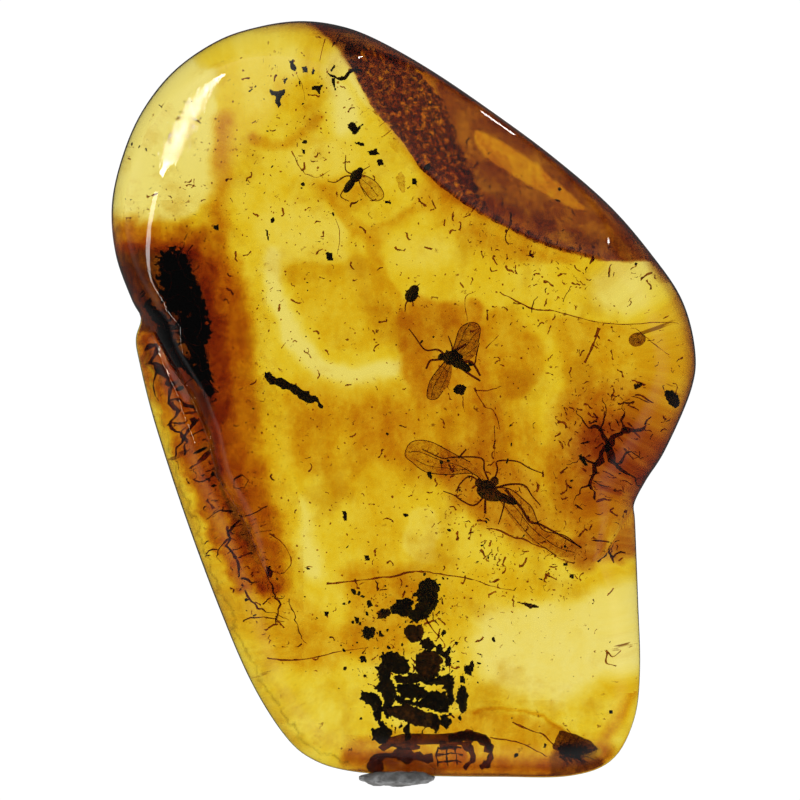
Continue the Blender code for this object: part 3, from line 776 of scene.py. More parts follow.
def grid_faces(index: np.ndarray, keep: np.ndarray, least: int) -> tuple[np.ndarray, np.ndarray]:
    """Give the faces of a grid that have enough kept points, and which points they use.

    Args:
        index: Number of each point, in rows and columns.
        keep: For each point, whether it is kept.
        least: Kept points that a face needs.

    Returns:
        The numbers of the used points and the faces in the new numbers.
    """
    corners = np.stack([index[:-1, :-1], index[:-1, 1:], index[1:, 1:], index[1:, :-1]], axis=-1)
    corners = corners.reshape(-1, 4)
    corners = corners[keep[corners].sum(axis=1) >= least]
    used, renumbered = np.unique(corners, return_inverse=True)
    return used, renumbered.reshape(-1, 4)


@dataclass
class Sheet:
    """A near-level sheet through the stone, as a grid that ends just inside the stone's surface."""

    height: float
    margin: float
    spacing: float
    wave: float = 0.25
    seed: int = 1
    half_width: float = 18.0
    half_length: float = 23.0

    def grid(self) -> tuple[np.ndarray, Faces]:
        """Give the sheet's points and its faces."""
        across = np.arange(-self.half_width, self.half_width, self.spacing)
        up = np.arange(-self.half_length, self.half_length, self.spacing)
        x, y = (values.ravel() for values in np.meshgrid(across, up))
        turns = np.linspace(-math.pi, math.pi, 720)
        limits = SHAPE.reach_at(self.height, self.margin + self.wave, turns)
        limit = np.interp(np.arctan2(y, x), turns, limits)
        reach = np.maximum(np.hypot(x, y), 1e-6)
        shrink = np.minimum(1.0, limit / reach)
        index = np.arange(len(x)).reshape(len(up), len(across))
        used, faces = grid_faces(index, reach <= limit, 2)
        plan = np.column_stack([x * shrink, y * shrink])[used]
        z = self.height + self.wave * wander(plan[:, 0], plan[:, 1], 9.0, self.seed)
        return np.column_stack([plan, z]), [tuple(face) for face in faces.tolist()]


@dataclass
class SurfaceSheet:
    """A sheet just under the stone's top, within an outline in plan."""

    outline: tuple[Pixel, ...]
    depth: float = 0.12
    spacing: float = 0.10

    def grid(self) -> tuple[np.ndarray, Faces]:
        """Give the sheet's points and its faces."""
        outline = PLAN.places(self.outline)
        low, high = outline.min(axis=0), outline.max(axis=0)
        across, up = (np.arange(low[axis], high[axis], self.spacing) for axis in (0, 1))
        x, y = (values.ravel() for values in np.meshgrid(across, up))
        limit = SHAPE.radius(np.arctan2(y, x)) - self.depth
        reach = np.hypot(x, y)
        inside = (reach <= limit) & (outline_distance(x, y, outline) < 0)
        shrink = np.minimum(1.0, limit / np.maximum(reach, 1e-6))
        index = np.arange(len(x)).reshape(len(up), len(across))
        used, faces = grid_faces(index, inside, 2)
        plan = np.column_stack([x * shrink, y * shrink])[used]
        z = SHAPE.top(plan[:, 0], plan[:, 1]) - self.depth
        return np.column_stack([plan, z]), [tuple(face) for face in faces.tolist()]


def close_sheet(points: np.ndarray, faces: Faces,
                thickness: np.ndarray | float) -> tuple[np.ndarray, Faces]:
    """Turn an open sheet into a closed thin solid.

    Args:
        points: Points of the sheet, one a row.
        faces: Faces that point up.
        thickness: Thickness along Z, one for all or one a point.

    Returns:
        The points and faces of the solid: first the upper side's points, then the lower side's.
    """
    count = len(points)
    lower = points.copy()
    lower[:, 2] -= thickness
    edges = {}
    for face in faces:
        for start, end in zip(face, face[1:] + face[:1]):
            edges[(start, end)] = True
    sides = [(end, start, start + count, end + count) for start, end in edges if (end, start) not in edges]
    under = [tuple(corner + count for corner in reversed(face)) for face in faces]
    return np.vstack([points, lower]), faces + under + sides


def new_piece(name: str, points: np.ndarray, faces: Sequence[Sequence[int]],
              material: Material, smooth: bool = True) -> Object:
    """Make an object from points in millimetres.

    Args:
        name: Name of the piece.
        points: Points, one a row.
        faces: Faces as indices of points.
        material: Its finish.
        smooth: Whether it is shaded smooth.

    Returns:
        The object, at the origin, with its place in its mesh.
    """
    mesh = bpy.data.meshes.new(name)
    mesh.from_pydata((np.asarray(points) * TO_METRES).tolist(), [], faces)
    mesh.update()
    mesh.materials.append(material)
    if smooth:
        mesh.shade_smooth()
    piece = bpy.data.objects.new(name, mesh)
    bpy.context.collection.objects.link(piece)
    return piece


def piece_from(name: str, solid: bmesh.types.BMesh, material: Material,
               smooth: bool = True) -> Object:
    """Make an object from a bmesh in millimetres, with its faces pointing out."""
    bmesh.ops.recalc_face_normals(solid, faces=solid.faces)
    solid.transform(Matrix.Scale(TO_METRES, 4))
    mesh = bpy.data.meshes.new(name)
    solid.to_mesh(mesh)
    solid.free()
    mesh.materials.append(material)
    if smooth:
        mesh.shade_smooth()
    piece = bpy.data.objects.new(name, mesh)
    bpy.context.collection.objects.link(piece)
    return piece


def set_tint(piece: Object, colours: np.ndarray) -> None:
    """Store a colour for each point of a piece."""
    attribute = piece.data.color_attributes.new("tint", "FLOAT_COLOR", "POINT")
    values = np.column_stack([colours, np.ones(len(colours))])
    attribute.data.foreach_set("color", values.ravel().astype(np.float32))


def set_value(piece: Object, name: str, values: np.ndarray) -> None:
    """Store a number for each point of a piece."""
    attribute = piece.data.attributes.new(name, "FLOAT", "POINT")
    attribute.data.foreach_set("value", np.asarray(values, dtype=np.float32))


def hand_over(piece: Object, slot: str, *nodes: str) -> None:
    """Give a finished piece to the frame.

    Args:
        piece: The finished piece.
        slot: The record's material slot.
        nodes: CAD nodes that it stands for.
    """
    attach(piece, BODY)
    if nodes:
        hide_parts(*nodes)
    LOG.info("%s: %d faces, slot %s", piece.name, len(piece.data.polygons), slot)


class GeometryTree(Graph):
    """A Geometry Nodes tree with named inputs, which is run once and leaves a plain mesh."""

    def __init__(self, name: str) -> None:
        """Make a tree that takes and gives geometry."""
        super().__init__(bpy.data.node_groups.new(name, "GeometryNodeTree"))
        self.tree.interface.new_socket("Geometry", in_out="INPUT", socket_type="NodeSocketGeometry")
        self.tree.interface.new_socket("Geometry", in_out="OUTPUT", socket_type="NodeSocketGeometry")
        self.source = self.node("NodeGroupInput")
        self.identifiers = {}

    def input(self, name: str, kind: str) -> Socket:
        """Add a named input and give its socket.

        Args:
            name: Name of the input.
            kind: Float, Int or Material.

        Returns:
            The socket inside the tree.
        """
        made = self.tree.interface.new_socket(name, in_out="INPUT", socket_type="NodeSocket" + kind)
        self.identifiers[name] = made.identifier
        return self.source.outputs[name]

    def attribute(self, name: str) -> Socket:
        """Read a number that the mesh carries."""
        return self.result("GeometryNodeInputNamedAttribute", {"Name": name}, data_type="FLOAT")

    def end(self, geometry: Socket, material: Socket) -> None:
        """Finish the tree: real geometry with its material."""
        real = self.result("GeometryNodeRealizeInstances", {0: geometry})
        dressed = self.result("GeometryNodeSetMaterial", {"Geometry": real, "Material": material})
        self.node("NodeGroupOutput", {0: dressed})

    def run(self, carrier: Object, name: str, **values: object) -> Object:
        """Run the tree on a carrier and leave a plain mesh.

        Args:
            carrier: Object whose mesh goes in. It is removed.
            name: Name of the piece.
            values: Values of the named inputs, with _ for each space.

        Returns:
            The piece.
        """
        modifier = carrier.modifiers.new("Nodes", "NODES")
        modifier.node_group = self.tree
        for key, value in values.items():
            modifier[self.identifiers[key.replace("_", " ")]] = value
        bpy.context.view_layer.update()
        graph = bpy.context.evaluated_depsgraph_get()
        mesh = bpy.data.meshes.new_from_object(carrier.evaluated_get(graph))
        mesh.name = name
        carrier.modifiers.remove(modifier)
        bpy.data.objects.remove(carrier)
        piece = bpy.data.objects.new(name, mesh)
        bpy.context.collection.objects.link(piece)
        return piece


def tube_tree() -> GeometryTree:
    """Make the tree that turns paths with a radius at each point into closed round tubes."""
    tree = GeometryTree("tubes_along_paths")
    sides = tree.input("Sides", "Int")
    material = tree.input("Finish", "Material")
    curves = tree.result("GeometryNodeMeshToCurve", {"Mesh": tree.source.outputs[0]})
    radius = tree.attribute("radius")
    ring = tree.node("GeometryNodeCurvePrimitiveCircle", {"Resolution": sides, "Radius": 1.0})
    inputs = {"Curve": curves, "Profile Curve": ring.outputs[0], "Fill Caps": True}
    tubes = tree.node("GeometryNodeCurveToMesh", inputs)
    if "Scale" in tubes.inputs:
        tree.tree.links.new(radius, tubes.inputs["Scale"])
    else:
        sized = tree.node("GeometryNodeSetCurveRadius", {"Curve": curves, "Radius": radius})
        tree.tree.links.new(sized.outputs[0], tubes.inputs["Curve"])
    smooth = tree.result("GeometryNodeSetShadeSmooth", {0: tubes.outputs[0]})
    tree.end(smooth, material)
    return tree


class Grain(Enum):
    """Shapes of what is scattered through the amber."""

    SPECK = "speck"
    CURL = "curl"


SPECK_TILT = 3.2
CURL_TILT = 0.5
WHOLE_TURN = 6.28
CURL_BENDS = ((0.0, 0.25, 0.2), (-0.25, 0.45, 0.1), (0.3, -0.2, 0.3), (0.0, 0.08, 0.0), (0.55, 0.4, -0.2))
CURL_THICKNESS = 0.10
TEAR_PACE = 4200.0


def scatter_tree(grain: Grain) -> GeometryTree:
    """Make the tree that scatters small grains or curls in a layer of the amber.

    Args:
        grain: Which shape is scattered.

    Returns:
        The tree. It reads the carrier's density attribute.
    """
    tree = GeometryTree("scatter_" + grain.value)
    most = tree.input("Most for each square millimetre", "Float")
    smallest = tree.input("Smallest", "Float")
    largest = tree.input("Largest", "Float")
    spread = tree.input("Height spread", "Float")
    ragged = tree.input("Raggedness", "Float")
    seed = tree.input("Seed", "Int")
    material = tree.input("Finish", "Material")
    per_square_metre = tree.math("MULTIPLY", most, TO_MILLIMETRES ** 2)
    density = tree.math("MULTIPLY", per_square_metre, tree.attribute("density"))
    points = tree.result("GeometryNodeDistributePointsOnFaces", {
        "Mesh": tree.source.outputs[0], "Density": density, "Seed": seed,
    }, distribute_method="RANDOM")

    def chance(low: object, high: object, which: int) -> Socket:
        """Give a random number for each point."""
        inputs = {2: low, 3: high, "ID": tree.result("GeometryNodeInputIndex"),
                  "Seed": tree.math("ADD", seed, float(which))}
        return tree.node("FunctionNodeRandomValue", inputs, data_type="FLOAT").outputs[1]

    lift = chance(tree.math("MULTIPLY", spread, -1.0), spread, 1)
    offset = tree.result("ShaderNodeCombineXYZ", {"Z": lift})
    points = tree.result("GeometryNodeSetPosition", {"Geometry": points, "Offset": offset})
    tilt = SPECK_TILT if grain is Grain.SPECK else CURL_TILT
    turn = tree.result("ShaderNodeCombineXYZ", {
        "X": chance(-tilt, tilt, 2), "Y": chance(-tilt, tilt, 3), "Z": chance(0.0, WHOLE_TURN, 4),
    })
    share = chance(0.0, 1.0, 5)
    curve = tree.math("MULTIPLY", share, tree.math("MULTIPLY", share, share))
    size = tree.math("ADD", smallest, tree.math("MULTIPLY", curve, tree.math("SUBTRACT", largest, smallest)))
    if grain is Grain.SPECK:
        ball = tree.result("GeometryNodeMeshIcoSphere", {"Radius": 0.5, "Subdivisions": 1})
        shapes = tree.result("GeometryNodeGeometryToInstance", {0: ball})
        scale = tree.result("ShaderNodeCombineXYZ", {
            "X": size, "Y": tree.math("MULTIPLY", size, chance(0.35, 1.0, 6)),
            "Z": tree.math("MULTIPLY", size, 0.6),
        })
    else:
        profile = tree.result("GeometryNodeCurvePrimitiveCircle", {
            "Resolution": 3, "Radius": CURL_THICKNESS,
        })
        join = tree.node("GeometryNodeJoinGeometry")
        for bend in CURL_BENDS:
            arc = tree.result("GeometryNodeCurveQuadraticBezier", {
                "Resolution": 6, "Start": (-0.5, 0.0, 0.0), "Middle": bend, "End": (0.5, 0.0, 0.0),
            })
            curl = tree.result("GeometryNodeCurveToMesh", {
                "Curve": arc, "Profile Curve": profile, "Fill Caps": True,
            })
            single = tree.result("GeometryNodeGeometryToInstance", {0: curl})
            tree.tree.links.new(single, join.inputs[0])
        shapes = join.outputs[0]
        scale = tree.result("ShaderNodeCombineXYZ", {"X": size, "Y": size, "Z": size})
    placed = tree.result("GeometryNodeInstanceOnPoints", {
        "Points": points, "Instance": shapes, "Pick Instance": True, "Rotation": turn, "Scale": scale,
    })
    real = tree.result("GeometryNodeRealizeInstances", {0: placed})
    place = tree.result("GeometryNodeInputPosition")
    waves = tree.node("ShaderNodeTexNoise", {"Vector": place, "Scale": TEAR_PACE, "Detail": 3.0})
    push = tree.result("ShaderNodeVectorMath", {0: waves.outputs["Color"], 1: (0.5, 0.5, 0.5)},
                     operation="SUBTRACT")
    pushed = tree.node("ShaderNodeVectorMath", {0: push}, operation="SCALE")
    tree.tree.links.new(ragged, pushed.inputs["Scale"])
    torn = tree.result("GeometryNodeSetPosition", {"Geometry": real, "Offset": pushed.outputs[0]})
    tree.end(torn, material)
    return tree


@dataclass
class Amber:
    """The amber itself: the whole polished stone as one clear piece."""

    finish: ClearAmber = field(default_factory=ClearAmber)
    segments: int = 420
    dome_rings: int = 42
    crease_rings: int = 16
    shoulder_rings: int = 44
    base_rings: int = 22
    base_shares: tuple[float, ...] = (0.8, 0.55, 0.3)

    def points(self) -> tuple[np.ndarray, Faces]:
        """Give the stone's points and faces, in rings from the crown to the middle of the base."""
        angle = np.arange(self.segments) * 2 * math.pi / self.segments
        radius = SHAPE.radius(angle)
        crest = SHAPE.crest(angle, radius)
        lip = LEFT_CREASE.lip
        reaches = [(crest - lip) * ring / self.dome_rings for ring in range(1, self.dome_rings + 1)]
        reaches += [crest + offset for offset in np.linspace(-lip, 0.05, self.crease_rings)[1:]]
        bend = reaches[-1]
        for ring in range(1, self.shoulder_rings + 1):
            share = math.sin(ring / self.shoulder_rings * math.pi / 2)
            reaches.append(bend * (1 - share) + radius * share)
        rings = []
        for reach in reaches:
            x, y = reach * np.cos(angle), reach * np.sin(angle)
            rings.append(np.column_stack([x, y, SHAPE.top(x, y)]))
        rim = rings[-1][:, 2]
        power = 2 / SHAPE.shoulder_power
        for ring in range(1, self.base_rings + 1):
            turn = ring / self.base_rings * math.pi / 2
            reach = radius - SHAPE.shoulder_bottom * (1 - max(math.cos(turn), 0) ** power)
            level = rim * (1 - math.sin(turn) ** power)
            rings.append(np.column_stack([reach * np.cos(angle), reach * np.sin(angle), level]))
        rings += [rings[-1] * share for share in self.base_shares]
        middle = np.zeros(1)
        crown = (0.0, 0.0, float(SHAPE.top(middle, middle)[0]))
        points = np.vstack([crown, *rings, (0.0, 0.0, 0.0)])
        faces = []
        count = self.segments
        for index in range(count):
            following = (index + 1) % count
            faces.append((0, 1 + index, 1 + following))
            for ring in range(len(rings) - 1):
                start = 1 + ring * count
                faces.append((start + index, start + count + index, start + count + following,
                              start + following))
            last = 1 + (len(rings) - 1) * count
            faces.append((len(points) - 1, last + following, last + index))
        return points, faces

    def build(self) -> None:
        """Build the clear piece, inside the CAD model's box."""
        points, faces = self.points()
        low, high = (np.array(corner) * TO_MILLIMETRES for corner in CAD_BOX)
        points = np.clip(points, low, high)
        stone = new_piece("amber_stone", points, faces, self.finish.make())
        hand_over(stone, "amber", "amber_front", "amber_back")


@dataclass
class FlowLayer:
    """A layer between two flows of resin, tinted where the flows are darker. Some of its tints are painted
    light: reflection along the left crease and shade along the rims.
    """

    name: str
    sheet: Sheet | SurfaceSheet
    base: Tint
    flows: tuple[Flow, ...]
    warp: float = 0.16
    warp_size: float = 3.2
    thickness: float = 0.03
    seed: int = 3

    def build(self) -> None:
        """Build the layer as a closed thin sheet with its tints."""
        points, faces = self.sheet.grid()
        plan = points[:, :2]
        if isinstance(self.sheet, Sheet):
            plan = SIGHT.seen(plan, self.sheet.height)
        x, y = plan[:, 0], plan[:, 1]
        moves = [wander(x, y, self.warp_size, seed) + 0.5 * wander(x, y, self.warp_size / 3, seed + 5)
                 for seed in (self.seed, self.seed + 1)]
        depth = paint_flows(plan + self.warp * np.stack(moves, axis=1), self.base, self.flows)
        solid_points, solid_faces = close_sheet(points, faces, self.thickness)
        layer = new_piece(self.name, solid_points, solid_faces, FlowTint(self.name + "_tint").make())
        side = np.exp(-depth / 2)
        set_tint(layer, np.vstack([side, side]))
        hand_over(layer, "amber")


LOWER_FLOWS = table(flow, """
225,30 262,24 302,20 318,26 338,50 356,75 372,105 388,130 375,150 350,162 335,150 325,168 300,165 280,152
  262,160 250,182 238,150 232,100 220,55 | YELLOW 0.9;
325,45 342,60 352,90 362,118 352,140 336,140 330,105 322,75 | CLEAR 0.6;
240,60 268,50 300,52 300,75 275,80 262,110 245,110 | PALE 0.6;
275,82 300,78 318,84 318,102 306,114 285,112 272,100 | HONEY 0.3;
252,140 283,144 304,135 317,118 | GOLD 0.2 0.9 0.26;
306,140 326,142 345,150 | AMBER 0.2 0.7 0.12;
232,165 262,160 290,172 300,195 280,210 250,205 234,190 | YELLOW 0.9;
286,150 330,140 350,150 352,168 330,182 300,178 | PALE 0.6;
318,182 350,178 372,186 372,202 340,205 318,196 | GOLD 0.5 0.8;
262,205 300,202 330,212 348,238 342,262 300,262 284,276 264,262 | PALE 0.6;
375,172 405,170 425,188 405,205 375,212 358,205 | YELLOW 0.5;
352,225 366,205 392,205 408,212 382,232 366,236 | YELLOW 0.35;
337,203 350,222 370,236 395,228 420,207 448,190 | GOLD 0.2 0.75 0.5;
372,236 376,262 386,286 400,312 | GOLD 0.25 0.85 0.42;
384,236 418,214 450,220 478,236 500,252 496,280 470,296 440,292 410,296 392,272 | YELLOW 0.5;
395,240 425,232 452,245 440,262 408,268 | PALE 0.6;
289,272 300,264 325,262 342,262 362,256 378,264 390,282 396,305 398,345 372,349 345,350 328,342 310,326
  297,308 | HONEY 0.14;
352,258 372,260 388,282 396,305 398,335 378,340 362,300 | AMBER 0.4 0.9;
272,255 272,280 281,308 298,342 326,370 360,376 394,370 | CLEAR 0.35 1.0 0.62;
300,385 345,392 395,388 440,395 500,398 535,420 560,460 540,480 470,470 420,480 380,470 330,478 295,465
  285,420 | GOLD 0.9;
352,415 385,405 415,420 410,445 370,450 | DEEP_GOLD 0.8 0.7;
404,302 425,300 455,306 476,300 488,330 489,365 496,396 478,402 450,408 420,402 405,382 399,340 | DEEP_GOLD
  0.22;
484,398 500,402 505,440 485,450 468,430 | ORANGE 0.6 0.6;
489,312 515,311 538,328 547,355 537,383 513,401 494,392 487,350 | GOLD 0.18;
500,318 570,318 640,326 692,326 690,392 640,400 575,396 552,370 | GOLD 0.25 0.7;
432,192 455,216 485,238 520,252 562,262 | DEEP_GOLD 0.8 0.6 0.7;
500,291 504,274 530,264 575,264 620,262 655,266 684,305 686,323 640,324 600,323 570,316 531,309 | YELLOW
  0.12;
590,275 640,265 672,290 684,316 640,318 600,312 | CLEAR 0.6 0.9;
506,300 530,320 550,345 552,400 548,442 | YELLOW 0.5 0.95 0.5;
560,402 600,386 650,380 672,400 656,450 632,500 612,542 588,545 560,520 552,470 556,430 | ORANGE 0.9 0.85;
578,432 620,418 654,430 642,472 628,506 598,508 580,470 | RED 0.8 0.75;
560,545 596,535 626,540 612,562 580,566 | RUST 0.5 0.8;
440,452 470,444 500,455 530,475 545,508 562,545 535,550 500,536 470,512 445,492 | ORANGE 0.5 0.75;
360,470 398,474 400,520 398,560 370,565 352,520 | HONEY 0.6;
334,430 350,440 352,480 338,500 330,470 | AMBER 0.5;
306,480 322,478 330,500 322,520 335,545 352,556 350,600 345,630 325,615 302,590 292,550 298,510 | YELLOW 0.5;
300,500 312,505 316,540 322,575 308,580 298,545 | CLEAR 0.5 0.8;
340,568 400,568 430,580 410,640 372,660 330,645 352,610 | GOLD 0.6;
262,600 300,602 340,640 330,668 285,665 268,640 | GOLD 0.7 0.8;
405,520 412,508 426,506 437,513 441,532 436,548 446,560 426,564 410,555 403,540 | PALE 0.12;
440,556 470,566 530,575 560,588 600,572 640,548 644,620 640,690 622,698 600,702 560,713 520,703 480,694
  462,672 452,640 436,600 | HONEY 0.7;
480,612 530,600 580,596 638,560 640,660 600,680 560,706 520,698 484,684 470,650 | LEMON 0.8 1.0;
470,572 510,568 545,578 555,596 520,596 485,588 | HONEY 0.5 0.8;
430,722 470,711 500,712 536,717 566,733 604,748 622,758 560,782 420,782 345,772 352,745 390,730 | GOLD 0.3
  0.95;
630,688 614,724 600,748 | HONEY 0.35 0.9 0.35;
210,42 217,60 219,100 217,150 214,184 204,206 182,220 150,224 118,222 108,200 112,160 128,115 152,76 186,46 |
  CLEAR 0.22 0.95;
223,122 223,150 221,180 217,215 216,245 | DEEP_GOLD 0.6 0.95 0.45;
206,232 230,262 248,300 254,350 260,400 274,450 286,500 286,560 274,600 256,590 232,520 212,440 200,350
  170,260 | AMBER 0.7;
146,375 200,480 240,560 262,610 240,625 200,540 165,440 | AMBER 0.6;
""")

FOLD_AREA = dots("100,200 215,205 262,250 278,400 304,520 304,620 300,700 372,790 290,790 220,700 180,600 "
                 "150,500 120,380 100,300")
# The greyish bands along the left crease are painted reflection of its steep side, and the band along the
# left rim is painted shade; the other rows are flows of resin.
FOLD_FLOWS_AND_CREASE_REFLECTION = table(flow, """
108,228 150,226 185,232 208,238 234,262 247,300 251,350 254,400 257,450 268,490 278,520 286,560 282,592
  262,592 240,560 215,500 180,420 150,370 134,335 112,290 | ORANGE 0.8 0.88;
182,246 205,252 222,290 231,340 236,400 238,450 247,490 256,530 262,562 250,556 225,500 205,430 198,350 |
  RUST 0.4;
112,246 150,243 188,246 206,264 217,300 222,350 227,380 233,394 226,420 224,450 227,475 215,475 205,430
  190,390 160,345 132,318 110,285 | RED 0.45;
108,262 150,252 190,260 204,300 206,345 211,385 212,420 198,396 168,345 138,326 112,290 | DARK 0.35 0.6;
120,262 136,262 140,290 144,316 132,304 | TIP 0.2 0.6;
138,345 160,372 185,410 205,455 222,500 240,540 254,575 240,590 218,548 195,495 172,440 152,395 140,365 |
  ORANGE 0.35;
140,342 163,364 184,395 203,430 216,472 205,476 190,444 172,408 152,376 | RUST 0.3;
142,345 156,352 168,372 160,380 148,366 | TIP 0.3 0.7;
150,342 171,370 190,402 204,440 214,480 240,528 264,585 | RED 0.4 0.85 0.30;
160,338 172,360 181,380 196,397 | MAUVE 0.12 0.9 0.12;
196,397 204,415 209,435 214,458 221,478 231,502 | MAUVE 0.14 1.0 0.16;
231,502 240,520 250,538 260,558 | MAUVE 0.16 0.95 0.26;
258,552 266,570 274,588 | RUST 0.2 0.9 0.18;
147,352 160,408 176,464 193,514 209,557 226,600 243,640 262,678 290,722 318,750 352,765 | OLIVE 0.10 0.8
  0.04;
118,230 113,260 122,292 134,316 | SKIN 0.2 0.7 0.25;
""")

FLAT_AREA = dots("296,10 400,30 500,100 600,180 700,280 660,284 600,276 540,262 470,226 425,190 390,148 "
                 "360,106 330,60")
# The last row, along the rim, is painted shade of the rim; the other rows are flows.
FLAT_FLOWS_AND_RIM_SHADE = table(flow, """
314,26 338,51 354,75 369,103 383,121 403,144 420,167 438,187 480,215 520,237 567,254 596,261 625,262 652,262
  690,270 700,200 600,100 480,30 380,0 300,0 | BROWN 0.07;
304,16 340,20 366,40 372,62 356,72 336,46 | TIP 0.35 0.9;
356,52 400,56 430,76 440,110 456,150 470,190 490,214 470,212 432,184 400,142 372,104 | ORANGE 0.5 0.9;
408,60 416,84 432,108 452,132 474,160 | GOLD 0.15 0.6 0.22;
440,116 470,140 500,166 540,194 575,210 610,216 640,232 646,256 600,256 560,250 520,232 480,206 462,170 |
  BROWN 0.15;
470,176 500,200 540,224 580,240 620,246 | TIP 0.5 0.35 0.3;
474,133 491,138 525,156 549,177 584,211 562,206 525,185 499,169 478,153 | DEEP_GOLD 0.07;
452,100 491,130 549,172 600,216 640,256 | BROWN 0.12 0.8 0.22;
378,34 431,62 491,104 551,149 612,200 652,250 668,276 | SKIN 0.25 0.9 0.42;
""")


FOOT_AREA = dots("312,735 380,735 480,700 566,700 650,690 650,740 620,790 330,790")
# The first four rows, the rust and dark bands along the bottom rim, are painted shade of the rim; the other
# rows are flows.
FOOT_FLOWS_AND_RIM_SHADE = table(flow, """
350,756 400,762 480,765 560,764 604,750 | RUST 0.5 0.75 0.35;
372,756 392,752 420,754 436,760 436,776 372,774 | TIP 0.4 0.5;
352,770 400,774 480,775 560,774 600,764 | TIP 0.14 0.9 0.10;
556,747 572,742 592,750 604,764 590,778 560,780 550,764 | TIP 0.2 0.75;
559,728 588,740 602,752 588,760 572,744 | OLIVE 0.10 0.8;
474,712 490,707 536,712 561,729 590,748 | GOLD 0.10 0.7 0.07;
436,748 462,746 464,764 438,766 | ORANGE 0.08 0.6;
632,690 622,712 606,734 | AMBER 0.3 0.8 0.25;
""")


SKINS = (
    ("fold_skin", FOLD_AREA, FOLD_FLOWS_AND_CREASE_REFLECTION, 0.22, 2.0),
    ("flat_skin", FLAT_AREA, FLAT_FLOWS_AND_RIM_SHADE, 0.05, 2.4),
    ("foot_skin", FOOT_AREA, FOOT_FLOWS_AND_RIM_SHADE, 0.06, 1.8),
)


@dataclass
class RimShade:
    """Painted shade along the right rim: a brown band just inside the stone's side that darkens the rim."""

    start: float = math.radians(-26)
    end: float = math.radians(112)
    depth: float = 0.10
    inset: float = 0.95
    columns: int = 300
    rows: int = 26
    fade: float = math.radians(9)

    def build(self) -> None:
        """Build the shading band just inside the stone's side."""
        turns = np.linspace(self.start, self.end, self.columns)
        reaches = np.linspace(0, 1, self.rows)
        upper = []
        for share in reaches:
            inset = self.depth + self.inset * (1 - math.sin(share * math.pi / 2))
            reach = SHAPE.radius(turns) - inset
            x, y = reach * np.cos(turns), reach * np.sin(turns)
            upper.append(np.column_stack([x, y, SHAPE.top(x, y) - self.depth * (1 - share)]))
        lower = []
        for share in reaches[1:]:
            inset = self.depth + self.inset * (1 - math.cos(share * math.pi / 2))
            reach = SHAPE.radius(turns) - inset
            x, y = reach * np.cos(turns), reach * np.sin(turns)
            lower.append(np.column_stack([x, y, SHAPE.bottom(x, y) + self.depth]))
        seam = upper[-1][:, 2]
        for ring, row in enumerate(lower):
            row[:, 2] = np.minimum(row[:, 2], seam - 0.02 * (ring + 1))
        grid = np.stack(upper + lower)
        rows, columns = grid.shape[:2]
        faces = []
        for row in range(rows - 1):
            for column in range(columns - 1):
                near = row * columns + column
                faces.append((near, near + columns, near + columns + 1, near + 1))
        piece = new_piece("rim_shade", grid.reshape(-1, 3), faces, FlowTint("rim_skin_tint").make())
        ends = smoothstep(0, self.fade, turns - self.start) * smoothstep(0, self.fade, self.end - turns)
        along = smoothstep(0, 0.55, np.linspace(0, 1, rows))
        # Painted rim shade: the tint fades in towards the rim and stays full round it.
        depth = (ends[None, :] * along[:, None]).reshape(-1, 1) * np.array(Tint.SKIN.value)
        set_tint(piece, np.exp(-depth))
        hand_over(piece, "amber")


